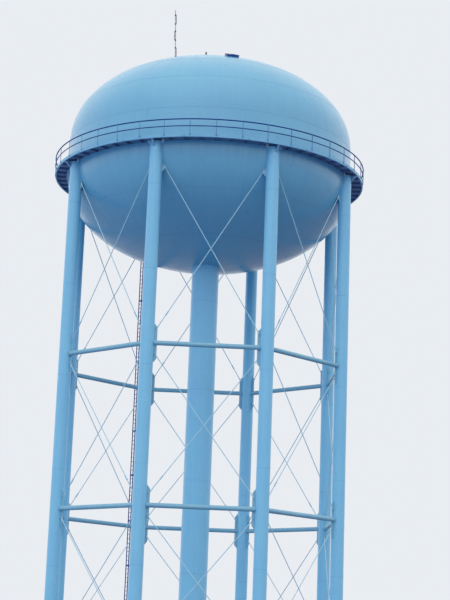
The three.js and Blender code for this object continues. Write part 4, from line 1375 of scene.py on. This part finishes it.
def add_hatch_curb():
    place = hatch_place()
    outer, inner, top = HATCH_HALF, HATCH_HALF - HATCH_WALL, HATCH_HEIGHT
    rim = [(outer, -0.03), (outer, top - 0.003), (outer - 0.003, top)]
    rim += [(inner + 0.003, top), (inner, top - 0.003), (inner, -0.03)]
    weld = [(outer - 0.002, -0.012), (outer + 0.012, -0.012)]
    weld += [(outer + 0.003, 0.004), (outer - 0.002, 0.006)]
    steel = [square_turned(profile, place, True) for profile in (rim, weld)]
    lug = [(0.19, -0.01), (0.226, 0.03), (0.2265, 0.064), (0.2225, 0.0728), (0.214, 0.0765)]
    lug += [(0.2055, 0.0728), (0.2025, 0.062), (0.2025, 0.052), (0.198, 0.04)]
    steel += [placed(flat_plate(lug, 0.012, "X", side), place) for side in (-0.15, 0.15)]
    steel.append(block((0.006, 0.03, 0.024), (0.02, -0.214, 0.024), 0.001, place))
    pins = [round_bar((-0.165, HINGE_Y, HINGE_Z), (0.165, HINGE_Y, HINGE_Z), PIN_RADIUS, 24, place)]
    for side in (-1, 1):
        head = (side * 0.158, HINGE_Y, HINGE_Z), (side * 0.166, HINGE_Y, HINGE_Z)
        pins.append(round_bar(*head, 0.0095, 6, place))
    # The hatch curb's darker paint is painted shade.
    parts = [painted(hatch_paint, *steel), painted(mast_metal, *pins)]
    piece("hatch_curb", parts, ["hatch_frame"])


def add_hatch_cover():
    place = hatch_place()
    lid = [(0, LID_LOW), (LID_HALF - 0.002, LID_LOW), (LID_HALF, LID_LOW + 0.002)]
    lid += [(LID_HALF, LID_HIGH - 0.005), (LID_HALF - 0.005, LID_HIGH), (0.165, LID_HIGH)]
    lid += [(0.155, LID_HIGH + 0.002), (0, LID_HIGH + 0.003)]
    depth = (LID_HALF + LID_BACK) / 2
    shorter = moved_by(0, LID_BACK - depth, 0) @ Matrix.Diagonal((1, depth / LID_HALF, 1, 1))
    cover = [square_turned(lid, place @ shorter)]
    across = place @ moved_by(0, HINGE_Y, HINGE_Z) @ Matrix.Rotation(math.pi / 2, 4, "Y")
    bore = PIN_RADIUS + 0.0006
    for side in (-0.11, 0.11):
        knuckle = sleeve(bore, KNUCKLE_RADIUS, side - 0.02, side + 0.02)
        cover.append(turned(knuckle, 24, across, True))
        cover.append(block((0.034, 0.075, 0.0045), (side, 0.169, 0.0747), 0.001, place))
    cover.append(block((0.006, 0.026, 0.05), (0.0, -0.222, 0.052), 0.001, place))
    cover.append(block((0.04, 0.03, 0.004), (0.0, -0.2, 0.0735), 0.001, place))
    low, high = 0.072, 0.084
    grip = [(-0.06, -0.12, low), (-0.06, -0.12, high), (0.06, -0.12, high), (0.06, -0.12, low)]
    handle = placed(beads(hatch_paint, [rounded_run(grip, 0.009)], 0.0045, False, 12), place)
    spots = [(side + x, y) for side in (-0.11, 0.11) for x in (-0.009, 0.009) for y in (0.15, 0.18)]
    places = [place @ Vector((x, y, 0.0767)) for x, y in spots]
    facings = [place.to_3x3() @ Z_AXIS] * len(places)
    fixings = nuts(hatch_paint, places, facings, 0.004, 0.003)
    # The cover's darker paint is painted shade.
    parts = [painted(hatch_paint, *cover), handle, fixings]
    piece("hatch_cover", parts, ["hatch_lid"], "lid")


# Roof fittings: vent, obstruction light and antenna mast

def add_vent():
    neck = [(0, -0.02), (0.155, -0.02), (0.155, 0.008), (0.114, 0.012), (VENT_NECK_RADIUS, 0.02)]
    neck += [(VENT_NECK_RADIUS, 0.075), (0.104, 0.08), (0, 0.08)]
    screen = [(0, 0.078), (0.098, 0.078), (0.098, 0.15), (0, 0.15)]
    cap = [(0, 0.148), (0.17, 0.142), (0.195, 0.1375), (VENT_CAP_RADIUS, 0.141), (VENT_CAP_RADIUS, 0.19)]
    cap += [(0.19, 0.206), (0.155, 0.232), (0.11, 0.2565), (0.06, 0.269), (0, VENT_HEIGHT)]
    span = {"low_height": 0.07, "high_height": 0.155}
    bars = slats.make(tank_paint, bars=20, ring_radius=0.104, bar_radius=0.004, **span)
    fixings = nut_ring(fastener_paint, 0.135, 6, 0.0095, 0.007, 0.006)
    solids = painted(tank_paint, turned(neck, 48), turned(cap, 64))
    whole = joined([solids, bars, fixings, painted(vent_screen, turned(screen, 48))])
    piece("vent_cowl", [placed(whole, moved_by(0, 0, roof_height(0.0)))], ["roof_vent"])


def add_beacon():
    seat = roof_height(abs(LIGHT_X))
    base = LIGHT_TOP - LIGHT_HEIGHT
    post = [(0, seat - 0.02), (0.07, seat - 0.02), (0.07, seat + 0.014), (0.066, seat + 0.02)]
    post += [(0.024, seat + 0.024), (0.0145, seat + 0.04), (0.0145, base - 0.02), (0.021, base - 0.008)]
    post += [(0.0235, base), (0.0235, base + 0.018), (0, base + 0.018)]
    glass = [(0, 0.016), (0.0245, 0.016), (0.0258, 0.03), (0.0258, 0.078)]
    glass += [(0.0235, 0.096), (0.015, 0.108), (0, 0.112)]
    glass = [(radius, base + z) for radius, z in glass]
    cap = [(0, base + 0.104), (0.010, base + 0.106), (0.009, base + 0.115), (0, LIGHT_TOP)]
    ring = LIGHT_RADIUS - 0.0018
    span = {"low_height": base + 0.01, "high_height": base + 0.084}
    wires = slats.make(beacon_paint, bars=6, ring_radius=ring, bar_radius=0.0016, **span)
    hoops = beads(beacon_paint, [circle(ring, base + z, 24) for z in (0.012, 0.05, 0.084)], 0.0016, True)
    fixings = nut_ring(mast_metal, 0.048, 4, seat + 0.021, 0.005, 0.005)
    solids = painted(beacon_paint, turned(post, 32), turned(cap, 24))
    whole = joined([solids, painted(lamp_glass, turned(glass, 48)), wires, hoops, fixings])
    piece("beacon", [placed(whole, moved_by(LIGHT_X, 0, 0))], ["obstruction_light"])


def add_mast():
    """The mast, drawn upright on its seat on the roof, then leant over its foot."""
    flange = [(0, -0.06), (0.08, -0.06), (0.08, 0.052), (0.076, 0.06), (0, 0.06)]
    pole = [(0, 0.03), (0.026, 0.03), (0.026, 0.064), (0.022, 0.12), (MAST_RADIUS, 0.124)]
    pole += [(MAST_RADIUS, MAST_LENGTH - 0.01), (MAST_RADIUS - 0.004, MAST_LENGTH), (0, MAST_LENGTH)]
    clamps = []
    loops = []
    near, far = MAST_RADIUS - 0.001, MAST_RADIUS + 0.012
    for index, top in enumerate(DIPOLE_TOPS):
        reach = DIPOLE_REACH if index % 2 == 0 else -DIPOLE_REACH
        ends = (top - 0.009, top - DIPOLE_HEIGHT + 0.009)
        middle = sum(ends) / 2
        corners = [(0, 0, ends[0]), (reach, 0, ends[0]), (reach, 0, ends[1]), (0, 0, ends[1])]
        loops.append(rounded_run(corners, 0.014))
        for z in ends:
            clamps.append(turned(sleeve(near, far, z - 0.018, z + 0.018), 24, closed=True))
            clamps.append(block((0.012, 0.012, 0.022), (0, -far, z), 0.001))
        clamps.append(round_bar((0, 0, middle), (reach, 0, middle), 0.007, 10))
        clamps.append(block((0.02, 0.02, 0.05), (reach, 0, middle), 0.003))
    feed = [(0, MAST_RADIUS + 0.004, z) for z in (0.07, 0.9, DIPOLE_TOPS[0] - DIPOLE_HEIGHT / 2)]
    rods = [beads(dipole_paint, loops, 0.009, False, 12), beads(mast_metal, [feed], 0.005, False, 8)]
    leaning = joined([painted(mast_metal, turned(pole, 32)), painted(dipole_paint, *clamps)] + rods)
    placed(leaning, Matrix.Rotation(-math.radians(MAST_LEAN), 4, "Y"))
    fixings = nut_ring(mast_metal, 0.054, 4, 0.0605, 0.007, 0.006)
    whole = joined([painted(mast_metal, turned(flange, 32)), leaning, fixings])
    seat = moved_by(MAST_X, 0, roof_height(abs(MAST_X)))
    piece("mast_run", [placed(whole, seat)], ["antenna_mast"])


# Floor, light and camera

def add_floor():
    shape = bmesh.new()
    bmesh.ops.create_circle(shape, cap_ends=True, segments=96, radius=FLOOR_RADIUS)
    mesh = plain_mesh(shape, moved_by(0, 0, -0.001))
    mesh.materials.append(floor_finish())
    floor = new_object("studio_floor", mesh)
    floor.visible_diffuse = False
    floor.visible_glossy = False


def add_sky():
    """A soft sky, blue at its rim, over a dim ground. The ground is cooler and lighter on the left."""
    world = bpy.data.worlds.new("studio")
    scene.world = world
    world.use_nodes = True
    graph = Graph(world.node_tree)
    graph.tree.nodes.clear()
    seen = graph.out("ShaderNodeLightPath", output="Is Camera Ray")
    mirrored = graph.out("ShaderNodeLightPath", output="Is Glossy Ray")
    side, _, height = graph.parts(graph.out("ShaderNodeTexCoord", output="Generated"))
    ramp = graph.add("ShaderNodeValToRGB", {0: height * 0.5 + 0.5})
    elements = ramp.color_ramp.elements
    elements[0].color = (0.10, 0.16, 0.29, 1.0)
    elements[1].color = (1.0, 1.0, 1.0, 1.0)
    for at, colour in ((0.46, (0.205, 0.29, 0.515, 1.0)), (0.53, (0.74, 0.96, 1.22, 1.0))):
        elements.new(at).color = colour
    inputs = {"Saturation": 1.0 - mirrored * 0.75, "Color": Value(graph, ramp.outputs[0])}
    sky = graph.out("ShaderNodeHueSaturation", inputs)
    ground_side = side * graph.math("LESS_THAN", height, 0.03)
    warmer = graph.vector(ground_side * 0.16 + 1.0, 1.0, 1.0)
    sky = graph.out("ShaderNodeVectorMath", {0: sky, 1: warmer}, operation="MULTIPLY")
    strength = (1.0 - ground_side * (0.28 - height * 0.6)) * 0.94
    soft = graph.out("ShaderNodeBackground", {"Color": sky, "Strength": strength})
    backdrop = graph.out("ShaderNodeBackground", {"Color": srgb(233, 237, 242), "Strength": 1.0})
    mixed = graph.out("ShaderNodeMixShader", {0: seen, 1: soft, 2: backdrop})
    graph.add("ShaderNodeOutputWorld", {"Surface": mixed})


def add_key_light():
    """A weak, broad sun from behind the camera, above and to its left."""
    sun = bpy.data.lights.new("soft_key", "SUN")
    sun.energy = 0.35
    sun.angle = math.radians(70)
    towards = Vector((0.18, 0.8, -0.9))
    new_object("soft_key", sun).rotation_euler = towards.to_track_quat("-Z", "Y").to_euler()


def add_camera():
    forward = Vector((math.sin(YAW) * math.cos(PITCH), math.cos(YAW) * math.cos(PITCH), math.sin(PITCH)))
    level = Vector((math.cos(YAW), -math.sin(YAW), 0.0))
    upright = level.cross(forward)
    right = level * math.cos(ROLL) + upright * math.sin(ROLL)
    up = upright * math.cos(ROLL) - level * math.sin(ROLL)
    lens = bpy.data.cameras.new("camera")
    lens.lens = LENS
    lens.sensor_width = 36.0
    lens.clip_end = 2 * FLOOR_RADIUS
    camera = new_object("camera", lens)
    camera.matrix_world = Matrix((right, up, -forward)).transposed().to_4x4()
    camera.location = EYE
    scene.camera = camera


add_camera()
add_roof()
add_shell()
add_bowl()
add_riser()
add_overflow()
add_columns()
add_bracing()
add_walkway()
add_handrail()
add_leg_ladder()
add_roof_ladder()
add_hatch_curb()
add_hatch_cover()
add_vent()
add_beacon()
add_mast()
add_floor()
add_sky()
add_key_light()
scene.view_settings.view_transform = "Standard"
